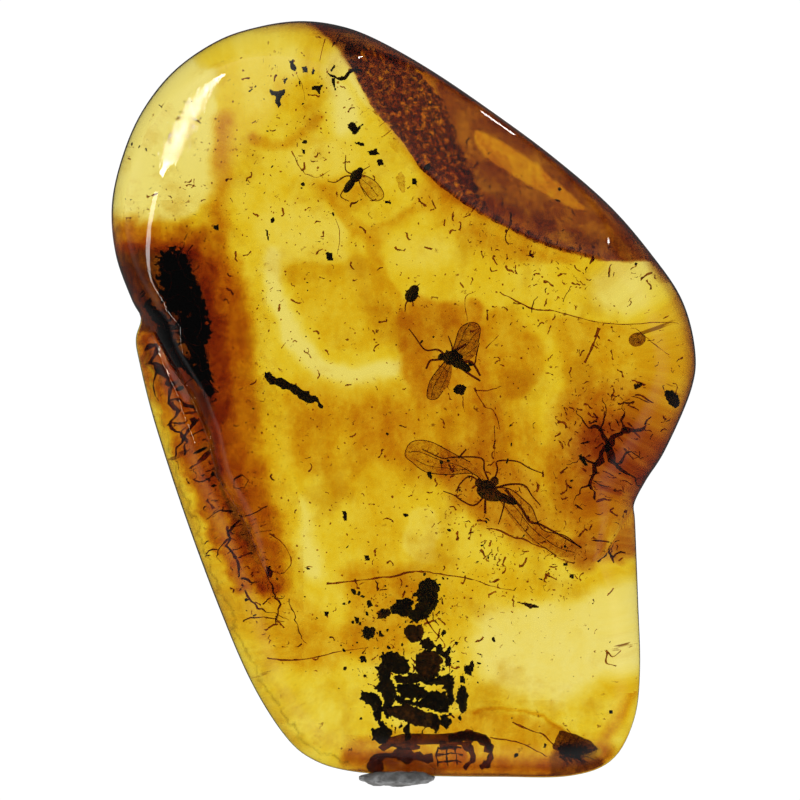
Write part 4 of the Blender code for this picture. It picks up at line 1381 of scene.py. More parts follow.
@dataclass
class Crust:
    """The crust under the right flat: a rough, broken layer of brown grains, with golden spots that paint
    the glint of its spangles.
    """

    edge: tuple[Pixel, ...] = dots("316,27 338,51 354,75 369,103 383,121 403,144 420,167 438,187 480,215 "
                                   "520,237 567,254 596,261 618,262")
    inset: float = 0.75
    below: float = 1.9
    highest: float = 8.5
    thickness: float = 0.12
    columns: int = 260
    rows: int = 60
    rough: tuple[Pixel, ...] = dots("340,40 380,46 420,70 448,105 460,140 474,176 494,214 470,218 430,190 "
                                    "395,146 362,100 344,70")
    fringe: tuple[Pixel, ...] = dots("430,178 480,205 520,228 567,246 600,254 600,262 560,256 515,240 "
                                     "470,216")

    body_share: float = 0.52
    fringe_share: float = 0.42
    bump_pace: float = 2.2
    bump: float = 0.12
    sink: float = 0.15

    def build(self) -> None:
        """Build the layer from rows between the flat's edge and the rim."""
        edge = spline(PLAN.places(self.edge), 8, closed=False)
        run = np.linspace(0, len(edge) - 1, self.columns)
        inner = np.stack([np.interp(run, range(len(edge)), edge[:, axis]) for axis in (0, 1)], axis=1)
        angle = np.arctan2(inner[:, 1], inner[:, 0])
        near = np.hypot(inner[:, 0], inner[:, 1])
        far = np.maximum(SHAPE.radius(angle) - self.inset, near + 0.1)
        rows = []
        for share in np.linspace(0, 1, self.rows):
            distance = near + (far - near) * share
            rows.append(np.column_stack([distance * np.cos(angle), distance * np.sin(angle)]))
        seen = np.stack(rows).reshape(-1, 2)
        level = np.full(len(seen), self.highest)
        plan = seen
        for _ in range(3):
            level = np.minimum(RIGHT_FACET.level(plan[:, 0], plan[:, 1]) - self.below, self.highest)
            plan = SIGHT.under(seen, level)
        x, y = seen[:, 0], seen[:, 1]
        body = 1 - smoothstep(-0.45, 0.35, outline_distance(x, y, PLAN.places(self.rough)))
        fringe = 1 - smoothstep(-0.15, 0.15, outline_distance(x, y, PLAN.places(self.fringe)))
        bumps = np.array([noise.fractal(Vector((px, py, 1.0)) * self.bump_pace, 1.0, 2.0, 4)
                          for px, py in seen])
        level = level + self.bump * bumps - self.sink
        index = np.arange(len(seen)).reshape(self.rows, self.columns)
        _, faces = grid_faces(index, np.ones(len(seen), dtype=bool), 4)
        faces = [tuple(reversed(face)) for face in faces.tolist()]
        points, faces = close_sheet(np.column_stack([plan, level]), faces, self.thickness)
        plate = new_piece("crust_layer", points, faces, CrustFinish().make())
        share = np.clip(np.maximum(body * self.body_share, fringe * self.fringe_share), 0, 1)
        set_value(plate, "body", np.concatenate([share, share]))
        hand_over(plate, "crust", "crust_plate")


@dataclass(frozen=True)
class Strand:
    """A path in plan with a height and a radius at its ends."""

    points: tuple[Pixel, ...]
    height: float
    radius: float
    tip: float | None = None
    drop: float = 0.0


@dataclass
class Strands:
    """Tubes along paths, such as legs, veins, hairs and cracks."""

    name: str
    strands: tuple[Strand, ...]
    steps: int = 5
    sides: int = 6
    waver: float = 0.0
    waver_pace: float = 3.1
    waver_swell: float = 1.1
    swell_reach: tuple[float, float] = (0.4, 1.6)
    thinnest: float = 0.004

    def build(self, tree: GeometryTree, material: Material) -> Object:
        """Build the tubes.

        Args:
            tree: The tree that makes tubes along paths.
            material: Finish of the tubes.

        Returns:
            The piece, not yet given to the frame.
        """
        points, edges, radii = [], [], []
        for strand in self.strands:
            share = np.linspace(0, 1, len(strand.points))
            heights = strand.height - strand.drop * share
            plan = SIGHT.under(PLAN.places(strand.points), heights)
            tip = strand.radius if strand.tip is None else strand.tip
            sizes = strand.radius + (tip - strand.radius) * share
            curve = spline(np.column_stack([plan, heights, sizes]), self.steps, closed=False)
            if self.waver:
                bends = np.array([noise.noise_vector(Vector((x, y, 0.0)) * self.waver_pace)[:]
                                  for x, y in curve[:, :2]])
                curve[:, :2] += self.waver * bends[:, :2]
                curve[:, 3] *= np.clip(1 + self.waver_swell * bends[:, 2], *self.swell_reach)
            start = len(points)
            points.extend(curve[:, :3].tolist())
            radii.extend(np.maximum(curve[:, 3], self.thinnest).tolist())
            edges.extend((start + index, start + index + 1) for index in range(len(curve) - 1))
        mesh = bpy.data.meshes.new(self.name + "_paths")
        mesh.from_pydata((np.array(points) * TO_METRES).tolist(), edges, [])
        carrier = bpy.data.objects.new(self.name + "_paths", mesh)
        bpy.context.collection.objects.link(carrier)
        set_value(carrier, "radius", np.array(radii) * TO_METRES)
        return tree.run(carrier, self.name, Sides=self.sides, Finish=material)


@dataclass(frozen=True)
class BodyPart:
    """A part of an insect's body: middle, half sizes, turn, height, and how many rings cross it."""

    middle: Pixel
    sizes: Colour
    turn: float
    height: float
    rings: int = 0
    ring_depth: float = 0.06
    lump: float = 0.05
    lump_pace: float = 2.3

    def add_to(self, solid: bmesh.types.BMesh) -> None:
        """Add the part to a bmesh as a closed shape."""
        made = bmesh.ops.create_uvsphere(solid, u_segments=28, v_segments=18, radius=1)
        turn = Matrix.Rotation(math.radians(self.turn), 4, "Z")
        shift = Matrix.Translation(SIGHT.point(self.middle, self.height))
        for vertex in made["verts"]:
            here = vertex.co.copy()
            swell = 1 + self.ring_depth * math.sin(here.x * math.pi * self.rings) if self.rings else 1.0
            swell += self.lump * noise.noise(here * self.lump_pace + Vector(self.sizes) * 9)
            sized = Vector((here.x * self.sizes[0], here.y * self.sizes[1] * swell,
                            here.z * self.sizes[2] * swell))
            vertex.co = shift @ (turn @ sized)


def wing_blade(outline: Sequence[Pixel], height: float, thickness: float,
               solid: bmesh.types.BMesh) -> None:
    """Add a flat closed wing to a bmesh."""
    curve = SIGHT.under(spline(PLAN.places(outline), 4, closed=True), height)
    face = solid.faces.new([solid.verts.new((x, y, height)) for x, y in curve])
    raised = bmesh.ops.extrude_face_region(solid, geom=[face])["geom"]
    vertices = [item for item in raised if isinstance(item, bmesh.types.BMVert)]
    bmesh.ops.translate(solid, verts=vertices, vec=(0, 0, thickness))


@dataclass
class Insect:
    """An insect: ringed body, jointed legs, clear wings with veins."""

    node: str
    body: tuple[BodyPart, ...]
    legs: tuple[Strand, ...]
    wings: tuple[tuple[float, tuple[Pixel, ...]], ...] = ()
    veins: tuple[Strand, ...] = ()
    wing_thickness: float = 0.02

    def build(self, tubes: GeometryTree, shell: Material, limb: Material,
              wing: Material) -> None:
        """Build the insect's pieces.

        Args:
            tubes: The tree that makes tubes along paths.
            shell: Finish of the body.
            limb: Finish of the legs and veins.
            wing: Finish of the wings.
        """
        solid = bmesh.new()
        for part in self.body:
            part.add_to(solid)
        body = piece_from(self.node + "_body", solid, shell)
        hand_over(body, "chitin", self.node)
        limbs = Strands(self.node + "_legs", self.legs, sides=7).build(tubes, limb)
        hand_over(limbs, "chitin")
        if self.wings:
            blades = bmesh.new()
            for height, outline in self.wings:
                wing_blade(outline, height, self.wing_thickness, blades)
            hand_over(piece_from(self.node + "_wings", blades, wing, smooth=False), "chitin")
        if self.veins:
            veins = Strands(self.node + "_veins", self.veins, sides=5).build(tubes, limb)
            hand_over(veins, "chitin")


def leg(points: tuple[Pixel, ...], height: float, radius: float = 0.07, tip: float = 0.03,
        drop: float = 0.2) -> Strand:
    """Give a leg that thins and sinks towards its tip."""
    return Strand(points, height, radius, tip, drop)


FLY = Insect(
    node="fly",
    body=(
        BodyPart((440.8, 357.0), (0.17, 0.22, 0.20), -35, 5.30),
        BodyPart((449.0, 358.4), (0.42, 0.36, 0.34), -35, 5.30),
        BodyPart((461.5, 365.2), (0.60, 0.26, 0.26), -35, 5.25, 5),
    ),
    legs=table(leg, """
447,358 438,350 425,350 415,337 409,329 | 5.25;
447,359 436,360 430,361 426,369 | 5.25 0.07 0.06;
450,358 452,348 448,336 | 5.25;
452,359 457,350 466,344 | 5.25 0.10 0.06;
459,364 466,372 480,381 | 5.25 0.10 0.06;
460,364 471,362 480,376 | 5.25 0.10 0.06;
466,366 474,364 476,355 479,343 | 5.30 0.06 0.03;
447,357 450,353 456,349 | 5.35 0.09 0.05;
"""),
    wings=(
        (5.42, dots("450,358 455,342 459,330 466,324 475,323 480,329 478,343 475,355 462,363")),
        (5.38, dots("447,359 440,367 430,381 427,397 436,399 443,391 449,384 452,366")),
    ),
    veins=table(Strand, """
450,358 455,342 459,330 466,324 475,323 480,329 478,343 | 5.44 0.030;
452,357 460,342 464,332 470,324 | 5.44 0.022;
454,358 466,346 473,336 479,331 | 5.44 0.020;
456,359 468,353 477,346 | 5.44 0.018;
458,342 463,341 468,344 | 5.44 0.016;
447,359 440,367 430,381 427,397 436,399 443,391 | 5.40 0.028;
448,362 441,374 434,386 431,398 | 5.40 0.020;
450,365 446,378 440,390 | 5.40 0.018;
"""),
)

GNAT = Insect(
    node="long_winged_gnat",
    body=(
        BodyPart((478.5, 482.5), (0.23, 0.25, 0.24), -20, 5.42),
        BodyPart((494.0, 481.0), (0.25, 0.27, 0.24), -20, 5.42),
        BodyPart((486.5, 485.0), (0.38, 0.28, 0.27), -20, 5.36),
        BodyPart((489.0, 493.0), (0.78, 0.42, 0.40), -20, 5.30, 3),
        BodyPart((504.0, 498.0), (0.80, 0.24, 0.25), -22, 5.20, 6),
    ),
    legs=table(leg, """
484,486 470,476 459,485 457,493 | 5.25 0.06 0.03;
486,494 474,505 461,500 454,495 443,491 | 5.25 0.06 0.03;
486,494 485,501 485,513 | 5.25 0.06 0.08;
500,496 504,501 501,515 498,524 | 5.25 0.06 0.03;
494,488 509,484 524,485 532,496 540,505 | 5.25 0.07 0.03;
490,484 484,470 481,458 453,457 442,458 422,449 | 5.25 0.06 0.03;
492,484 497,470 497,461 516,461 529,468 542,473 | 5.25 0.06 0.03;
458,458 466,449 | 5.20 0.06 0.05 0.0;
505,489 521,508 529,521 540,524 560,535 581,547 | 5.40 0.09 0.05 0.0;
"""),
    wings=(
        (5.44, dots("486,488 474,474 454,474 439,474 424,471 412,462 405,455 409,444 418,440 432,442 "
                    "451,452 470,462 488,482")),
        (5.50, dots("492,486 510,489 524,500 532,508 542,529 564,535 581,548 572,556 556,556 546,549 "
                    "530,540 512,520 498,500 490,495")),
    ),
    veins=table(Strand, """
486,488 474,474 454,474 439,474 424,471 412,462 405,455 409,444 418,440 432,442 451,452 470,462 | 5.46 0.028;
480,478 460,466 440,460 420,452 408,452 | 5.46 0.022;
470,470 450,468 430,466 416,460 | 5.46 0.018;
492,486 510,489 524,500 532,508 542,529 564,535 581,548 | 5.52 0.036;
496,492 514,506 532,528 556,546 574,552 | 5.52 0.024;
498,498 514,518 534,540 556,555 | 5.52 0.022;
520,500 522,514 520,524 | 5.52 0.016;
"""),
)

MIDGE = Insect(
    node="midge",
    body=(
        BodyPart((360.3, 171.5), (0.19, 0.19, 0.19), 55, 5.30),
        BodyPart((356.2, 176.9), (0.40, 0.32, 0.33), 55, 5.30),
        BodyPart((349.6, 186.4), (0.50, 0.22, 0.24), 55, 5.25, 5),
    ),
    legs=table(leg, """
355,176 346,171 346,156 | 5.25 0.05 0.025;
355,178 346,177 336,183 328,182 | 5.25 0.05 0.025;
351,184 346,188 341,197 349,202 | 5.25 0.05 0.025;
357,173 363,171 370,167 | 5.25 0.05 0.02;
359,181 361,187 366,197 | 5.25 0.04 0.02;
"""),
    wings=(
        (5.40, dots("356,175 364,176 375,182 383,192 383,199 376,202 369,198 361,187")),
    ),
    veins=table(Strand, """
357,176 364,176 375,182 383,192 383,199 376,202 369,198 362,188 | 5.42 0.024;
359,178 370,187 378,197 | 5.42 0.014;
"""),
)

BEETLE = Insect(
    node="small_beetle",
    body=(
        BodyPart((414.0, 290.0), (0.30, 0.26, 0.26), 30, 5.25),
        BodyPart((411.5, 295.5), (0.44, 0.36, 0.32), 60, 5.20, 4),
    ),
    legs=table(leg, """
412,296 406,304 405,312 | 5.20 0.06 0.03 0.0;
414,292 420,298 | 5.20 0.05 0.03 0.0;
410,293 405,291 | 5.20 0.05 0.03 0.0;
416,287 420,284 | 5.20 0.04 0.02 0.0;
"""),
)

CRACKS = Strands("drying_cracks", table(Strand, """
268,657 291,659 312,657 339,651 369,647 | 6.2 0.05 0.02;
327,583 355,580 390,576 412,571 426,571 | 6.4 0.05 0.05;
426,571 445,574 470,578 490,585 515,590 | 6.4 0.04 0.015;
499,293 512,300 531,309 550,311 | 7.4 0.04 0.05;
550,311 570,316 599,323 640,324 677,324 | 7.4 0.035 0.012;
598,328 592,345 584,363 | 6.0 0.11 0.06;
635,328 655,345 668,355 | 6.4 0.018 0.012;
467,322 465,299 475,292 | 6.0 0.025 0.012;
485,349 492,342 498,335 | 6.0 0.025 0.02;
474,388 478,397 485,407 494,412 500,430 | 5.6 0.05 0.02;
474,391 490,390 501,386 | 5.6 0.04 0.02;
462,396 464,412 | 5.6 0.03 0.02;
486,528 497,529 513,537 524,539 536,545 546,548 556,556 573,563 | 6.6 0.05 0.02;
494,425 494,457 | 6.4 0.02 0.012;
512,721 531,730 543,734 556,747 | 5.8 0.05 0.03;
490,737 515,741 534,749 547,756 | 5.8 0.04 0.03;
566,728 580,742 598,760 | 5.8 0.02 0.01;
605,650 612,656 620,650 | 6.0 0.04 0.03;
606,652 606,662 616,665 | 6.0 0.04 0.03;
270,533 285,545 292,560 284,572 272,570 | 6.6 0.035 0.02;
421,610 432,628 444,642 | 5.4 0.05 0.03;
336,220 340,235 338,255 | 6.2 0.02 0.012;
292,152 300,168 306,175 | 6.2 0.03 0.02;
306,175 318,178 330,172 | 6.2 0.02 0.015;
298,76 303,88 306,102 | 6.2 0.015 0.01;
"""), waver=0.05)

CREASE_BRANCHES = Strands("fold_cracks", table(Strand, """
150,345 158,368 170,382 168,398 180,410 | 5.4 0.10 0.05;
158,368 152,385 160,402 | 5.4 0.06 0.03;
180,410 172,425 186,440 182,455 | 5.4 0.08 0.03;
168,398 180,400 190,415 | 5.4 0.06 0.03;
190,420 186,436 176,452 180,470 | 5.5 0.06 0.02;
222,478 210,480 194,478 | 5.6 0.06 0.03;
222,478 236,480 248,482 247,490 | 5.6 0.05 0.02;
232,510 216,514 206,520 | 5.6 0.05 0.02;
240,516 256,512 268,506 | 5.6 0.05 0.02;
240,520 228,540 238,560 242,575 | 5.6 0.08 0.03;
228,540 216,552 222,562 | 5.6 0.05 0.02;
256,532 268,530 274,528 | 5.6 0.04 0.02;
262,560 274,590 280,606 276,622 | 5.8 0.07 0.03;
242,578 252,582 262,580 | 5.8 0.04 0.02;
246,590 256,606 270,612 290,620 | 5.8 0.05 0.02;
290,600 296,620 302,640 | 5.8 0.04 0.02;
244,620 262,616 284,622 | 5.8 0.04 0.02;
608,446 598,430 584,424 576,412 | 6.0 0.13 0.02;
608,446 624,430 640,428 650,416 | 6.0 0.13 0.02;
608,446 616,466 632,476 640,490 | 6.0 0.13 0.02;
608,446 596,462 590,484 594,500 | 6.0 0.13 0.02;
624,430 622,412 628,398 | 6.0 0.05 0.02;
598,430 606,412 602,398 | 6.0 0.05 0.02;
616,466 628,456 642,456 | 6.0 0.05 0.02;
596,462 580,458 566,464 | 6.0 0.05 0.02;
590,484 578,492 572,506 | 6.0 0.05 0.02;
600,548 610,556 624,552 | 6.0 0.06 0.03;
596,560 606,552 604,540 | 6.0 0.06 0.03;
612,562 608,552 618,540 | 6.0 0.05 0.02;
508,214 510,228 506,246 | 6.4 0.05 0.03;
534,238 534,256 | 6.4 0.06 0.04;
590,264 586,274 | 6.4 0.04 0.02;
568,290 562,304 | 6.4 0.03 0.02;
536,296 530,312 | 6.4 0.03 0.02;
"""), waver=0.22)


TWIG_LOOPS = Strands("twig_loops", table(Strand, """
448,738 466,736 480,739 489,748 490,760 480,768 | 4.6 0.26 0.22;
440,745 458,743 470,749 472,760 464,768 | 4.4 0.20 0.16;
374,771 378,759 392,755 410,756 432,758 | 4.2 0.34 0.26;
436,749 450,747 462,748 | 4.4 0.07 0.05;
436,755 450,753 463,754 | 4.4 0.06 0.05;
437,762 450,761 462,762 | 4.4 0.06 0.05;
438,747 436,755 438,765 | 4.4 0.06 0.05;
447,747 446,756 448,765 | 4.4 0.05 0.04;
456,746 456,756 457,765 | 4.4 0.05 0.04;
"""), waver=0.10)

FOLD_FIBRES = Strands("fold_fibres", table(Strand, """
160,262 172,280 168,300 | 7.4 0.05 0.02;
176,255 186,276 200,284 | 7.4 0.05 0.02;
165,300 182,296 196,306 | 7.4 0.05 0.02;
158,318 172,330 190,328 | 7.4 0.04 0.02;
182,340 196,346 206,342 | 7.2 0.04 0.02;
170,345 184,362 190,380 | 7.0 0.04 0.02;
186,372 198,376 208,370 | 7.0 0.05 0.02;
192,390 204,398 214,392 | 6.8 0.05 0.02;
150,270 160,290 156,310 | 7.2 0.05 0.02;
178,310 184,330 180,350 | 7.2 0.04 0.02;
196,300 202,320 198,340 | 7.2 0.04 0.02;
168,272 184,270 192,262 | 7.4 0.05 0.02;
186,244 179,262 183,274 | 7.6 0.03 0.02;
194,246 188,258 191,268 | 7.6 0.03 0.02;
"""), waver=0.14)


@dataclass(frozen=True)
class Drift:
    """A drift of scattered grains: regions with their densities, sizes and heights."""

    name: str
    grain: Grain
    finish: str
    most: float
    smallest: float
    largest: float
    height: float
    spread: float
    ragged: float
    regions: tuple[tuple[float, float, tuple[Pixel, ...]], ...]
    base: float = 0.0
    seed: int = 1
    margin: float = 0.5
    spacing: float = 0.5
    wave: float = 0.1

    def build(self, tree: GeometryTree, material: Material, slot: str) -> None:
        """Scatter the drift on a level carrier and give the result to the frame."""
        level = Sheet(self.height, self.margin + self.spread, self.spacing, self.wave, self.seed)
        points, faces = level.grid()
        carrier = new_piece(self.name + "_carrier", points, faces, material)
        x, y = SIGHT.seen(points[:, :2], self.height).T
        density = np.full(len(points), self.base)
        for value, softness, outline in self.regions:
            distance = outline_distance(x, y, PLAN.places(outline))
            density = np.maximum(density, value * (1 - smoothstep(-softness, softness, distance)))
        set_value(carrier, "density", density)
        values = {
            "Most for each square millimetre": self.most, "Smallest": self.smallest * TO_METRES,
            "Largest": self.largest * TO_METRES, "Height spread": self.spread * TO_METRES,
            "Raggedness": self.ragged * TO_METRES,
            "Seed": self.seed, "Finish": material,
        }
        hand_over(tree.run(carrier, self.name, **values), slot)


LEFT_FOLD = dots("150,345 190,380 215,440 250,520 285,590 300,660 262,650 225,570 190,480 155,400")
RIGHT_ORANGE = dots("560,402 600,386 665,385 660,450 632,500 612,548 580,548 555,510 552,450")
FLAT_EDGE = dots("425,180 470,205 520,232 575,250 640,262 640,285 560,300 500,270 450,240 415,200")
HEAP = dots("355,590 400,580 445,578 460,640 485,665 470,710 440,735 375,740 362,690 350,640")
GNAT_ZONE = dots("430,440 500,440 560,480 600,560 560,600 480,575 430,520")
WHOLE_TAB = dots("280,600 640,560 640,700 600,760 320,750")
TOP_SCATTER = dots("245,60 350,50 390,120 420,200 360,260 270,260 240,160")
RIGHT_SIDE = dots("500,260 680,270 690,400 560,400 510,340")

DRIFTS = (
    Drift("fine_dust", Grain.SPECK, "speck", 5.0, 0.06, 0.20, 6.0, 2.2, 0.10,
          ((1.0, 1.0, HEAP), (0.9, 1.5, WHOLE_TAB), (0.8, 1.0, GNAT_ZONE), (0.6, 1.0, TOP_SCATTER)),
          0.34, 3),
    Drift("dark_grains", Grain.SPECK, "bark", 4.4, 0.08, 0.40, 5.6, 1.0, 0.30,
          ((1.0, 0.5, HEAP), (0.07, 1.0, TOP_SCATTER), (0.10, 1.0, GNAT_ZONE), (0.05, 1.0, WHOLE_TAB),
           (0.16, 0.8, LEFT_FOLD)), 0.018, 5),
    Drift("brown_curls", Grain.CURL, "thread", 4.2, 0.12, 0.62, 5.9, 1.4, 0.42,
          ((1.0, 0.8, LEFT_FOLD), (1.0, 0.9, RIGHT_ORANGE), (1.0, 0.7, FLAT_EDGE), (0.75, 1.0, GNAT_ZONE),
           (0.5, 0.8, HEAP), (0.24, 1.0, TOP_SCATTER), (0.45, 1.0, RIGHT_SIDE)), 0.13, 7),
    Drift("dark_curls", Grain.CURL, "stain", 1.6, 0.14, 0.60, 5.6, 1.0, 0.42,
          ((0.8, 0.6, LEFT_FOLD), (0.4, 0.8, RIGHT_ORANGE), (1.0, 0.8, HEAP), (0.20, 1.0, GNAT_ZONE),
           (0.15, 0.8, FLAT_EDGE)), 0.015, 9),
)


@dataclass(frozen=True)
class Flake:
    """A ragged flake of bark: its outline in plan, its height, its CAD node if it has one, its finish."""

    outline: tuple[Pixel, ...]
    height: float = 5.2
    node: str | None = None
    brown: bool = False
    thickness: float = 0.16
    rag: float = 0.10
    room: float = 0.25
    tear_pace: float = 3.5
    rounding: float = 0.22

    def mesh(self, seed: int, spacing: float = 0.05) -> tuple[np.ndarray, Faces]:
        """Give the flake's points and faces, with torn edges and a rough face.

        Args:
            seed: Which raggedness.
            spacing: Size of the grid that it is cut from.

        Returns:
            Points and faces of a closed solid.
        """
        outline = PLAN.places(self.outline)
        low, high = outline.min(axis=0) - self.room, outline.max(axis=0) + self.room
        across, up = (np.arange(low[axis], high[axis], spacing) for axis in (0, 1))
        x, y = (values.ravel() for values in np.meshgrid(across, up))
        pace = self.tear_pace
        torn = np.array([noise.fractal(Vector((px * pace, py * pace, seed)), 0.9, 2.0, 4)
                         for px, py in zip(x, y)])
        distance = outline_distance(x, y, outline) + self.rag * torn
        index = np.arange(len(x)).reshape(len(up), len(across))
        used, faces = grid_faces(index, distance < 0, 3)
        swell = self.thickness * np.sqrt(np.clip(-distance[used] / self.rounding, 0.02, 1))
        z = self.height + swell * (1 + 0.5 * torn[used])
        plan = np.column_stack([x, y])[used]
        even = np.column_stack([plan - plan.mean(axis=0), np.ones(len(plan))])
        plan = plan + even @ np.linalg.lstsq(even, SIGHT.shift(x[used], y[used], self.height), rcond=None)[0]
        return close_sheet(np.column_stack([plan, z]), [tuple(face) for face in faces.tolist()], 2 * swell)


@dataclass
class Litter:
    """The bark litter: every flake, with the ones that stand for a CAD node as pieces of their own."""

    flakes: tuple[Flake, ...]

    def build(self, dark: Material, brown: Material) -> None:
        """Build the flakes.

        Args:
            dark: Finish of the nearly black flakes.
            brown: Finish of the brown ones.
        """
        loose = {False: ([], []), True: ([], [])}
        for seed, flake in enumerate(self.flakes):
            points, faces = flake.mesh(seed)
            if flake.node:
                piece = new_piece(flake.node + "_flake", points, faces, brown if flake.brown else dark)
                hand_over(piece, "bark", flake.node)
                continue
            all_points, all_faces = loose[flake.brown]
            start = sum(len(rows) for rows in all_points)
            all_points.append(points)
            all_faces.extend(tuple(corner + start for corner in face) for face in faces)
        for is_brown, (all_points, all_faces) in loose.items():
            name, material = ("loose_brown_flakes", brown) if is_brown else ("loose_dark_flakes", dark)
            hand_over(new_piece(name, np.vstack(all_points), all_faces, material), "bark")


LITTER = Litter(table(Flake, """
290,60 294,59 297,67 295,73 291,69 | 5.2 bark_crumb_01 rag=0.07;
269,90 278,92 285,90 285,95 281,99 282,106 278,110 275,101 276,97 271,96 | 5.3 bark_crumb_02 rag=0.08;
302,65 307,64 309,71 303,72 | 5.1 bark_crumb_03 rag=0.06;
312,88 319,86 324,85 322,92 320,98 318,92 312,91 | 5.2 bark_crumb_04 rag=0.08;
329,72 336,72 338,75 346,73 348,79 340,81 336,77 330,77 | 5.3 bark_crumb_05 rag=0.07;
348,125 355,123 358,127 364,125 359,131 357,136 352,133 349,130 | 5.2 bark_crumb_06 rag=0.12;
367,152 376,150 380,155 372,158 | 5.3 bark_crumb_07 rag=0.09;
325,254 334,252 334,262 327,262 | 5.2 bark_crumb_08 rag=0.09;
419,582 425,578 436,578 439,587 438,601 433,611 425,619 416,622 408,617 410,611 418,601 416,590 | 5.4
  bark_crumb_09 rag=0.14;
390,607 397,599 406,596 413,600 413,610 409,617 400,615 392,613 | 4.3 bark_crumb_10 rag=0.14;
403,630 408,624 422,624 425,632 421,639 412,642 405,637 | 5.5 bark_crumb_11 True rag=0.08;
366,600 371,599 373,605 368,608 | 5.4 bark_crumb_12 rag=0.08;
354,616 359,617 360,623 356,624 | 4.6 bark_crumb_13 rag=0.07;
416,654 425,650 439,651 443,660 439,674 430,683 419,680 414,668 | 4.7 bark_crumb_14 True rag=0.14;
434,645 441,643 443,651 451,644 449,654 453,663 446,667 443,657 437,654 | 6.1 bark_crumb_15 rag=0.12;
463,667 472,660 475,666 471,675 464,673 | 5.2 bark_crumb_16 rag=0.10;
376,666 385,661 394,665 391,677 397,690 394,703 385,706 381,691 373,688 379,680 | 5.5 bark_crumb_17 rag=0.16;
367,690 379,693 383,708 380,722 374,719 371,705 360,699 362,690 | 4.6 bark_crumb_18 rag=0.14;
386,708 405,702 422,708 433,716 430,727 416,725 399,719 390,715 | 5.8 bark_crumb_19 True rag=0.10;
392,693 405,698 419,702 422,694 436,690 446,692 452,705 447,714 436,711 424,708 408,704 396,703 | 4.1
  bark_crumb_20 rag=0.18;
457,688 464,683 468,694 467,708 461,714 456,700 | 5.5 bark_crumb_21 rag=0.10;
371,728 382,725 393,730 390,739 380,745 373,738 | 5.8 bark_crumb_22 rag=0.14;
312,67 316,67 315,73 312,74 | rag=0.05;
283,79 287,79 286,85 283,86 | rag=0.06;
249,92 257,86 256,89 250,93 | rag=0.04;
332,79 336,79 336,92 334,92 | rag=0.04;
331,67 336,60 337,62 333,68 | rag=0.04 brown=True;
299,82 301,82 301,88 299,88 | rag=0.04;
355,143 364,143 364,147 356,146 | rag=0.07;
376,161 383,159 384,166 378,167 | rag=0.08;
412,179 417,180 417,187 412,185 | rag=0.06;
385,201 392,202 391,205 385,204 | rag=0.05;
302,150 306,150 306,155 303,155 | rag=0.05;
266,230 269,231 270,242 267,240 | rag=0.04;
214,226 219,225 220,231 215,231 | rag=0.06;
145,148 148,149 148,152 145,151 | rag=0.04;
351,588 356,589 358,595 353,594 | rag=0.08;
362,630 368,625 376,628 374,636 367,640 362,636 | rag=0.12;
378,630 383,629 384,636 379,636 | rag=0.10;
376,612 388,606 392,612 386,619 378,618 | rag=0.12 brown=True;
359,655 366,655 367,662 361,662 | rag=0.10;
392,674 405,675 416,672 428,678 447,676 449,683 433,686 419,682 405,684 396,683 | 5.0 rag=0.14;
403,727 411,721 411,739 405,741 | 5.0 rag=0.08;
439,714 446,713 452,722 447,729 441,724 | 5.0 rag=0.12;
420,640 428,636 436,646 430,652 422,648 | 5.0 rag=0.14;
446,690 452,686 455,700 451,706 | 5.0 rag=0.12;
459,675 465,675 465,683 460,682 | 5.0 rag=0.08;
342,510 346,510 348,520 344,521 | rag=0.06;
364,555 370,555 370,560 365,560 | rag=0.06;
426,472 430,471 433,478 430,480 | rag=0.06;
577,455 581,453 587,464 584,467 | rag=0.06;
467,362 472,363 473,366 468,366 | 5.5 rag=0.03;
632,384 642,384 642,389 634,389 | rag=0.10 brown=True;
436,724 439,724 439,729 436,729 | rag=0.05;
514,753 518,753 518,757 514,757 | rag=0.05;
543,742 547,743 546,748 543,747 | rag=0.05;
562,562 567,562 567,566 563,566 | rag=0.05;
569,573 574,573 573,578 569,577 | rag=0.05;
608,710 612,709 613,713 609,714 | 5.4 rag=0.04;
324,611 329,611 329,617 325,616 | rag=0.06;
516,601 530,602 542,607 530,608 | 5.6 rag=0.05 brown=True;
162,252 176,247 190,258 197,276 201,300 196,318 184,322 172,312 162,296 158,272 | 6.4 bark_wedge rag=0.5
  thickness=0.3;
176,322 190,316 202,322 207,345 210,372 209,398 203,410 194,396 186,376 178,352 | 6.0 rag=0.45
  thickness=0.25;
186,300 200,290 208,310 212,340 204,350 192,330 | 5.6 rag=0.40;
380,655 392,650 404,655 412,668 404,676 390,672 382,668 | 4.8 rag=0.20;
396,684 410,682 424,686 430,694 416,700 400,697 | 4.7 rag=0.20;
384,700 392,704 396,714 388,718 382,710 | 4.9 rag=0.16;
440,676 450,672 456,682 450,692 442,688 | 4.9 rag=0.16;
424,712 436,712 444,722 436,732 428,726 | 4.6 rag=0.18 brown=True;
376,716 384,722 392,732 384,738 | 4.9 rag=0.14;
446,351 453,349 461,354 466,364 464,370 456,368 448,364 444,358 | 5.1 rag=0.14;
"""))


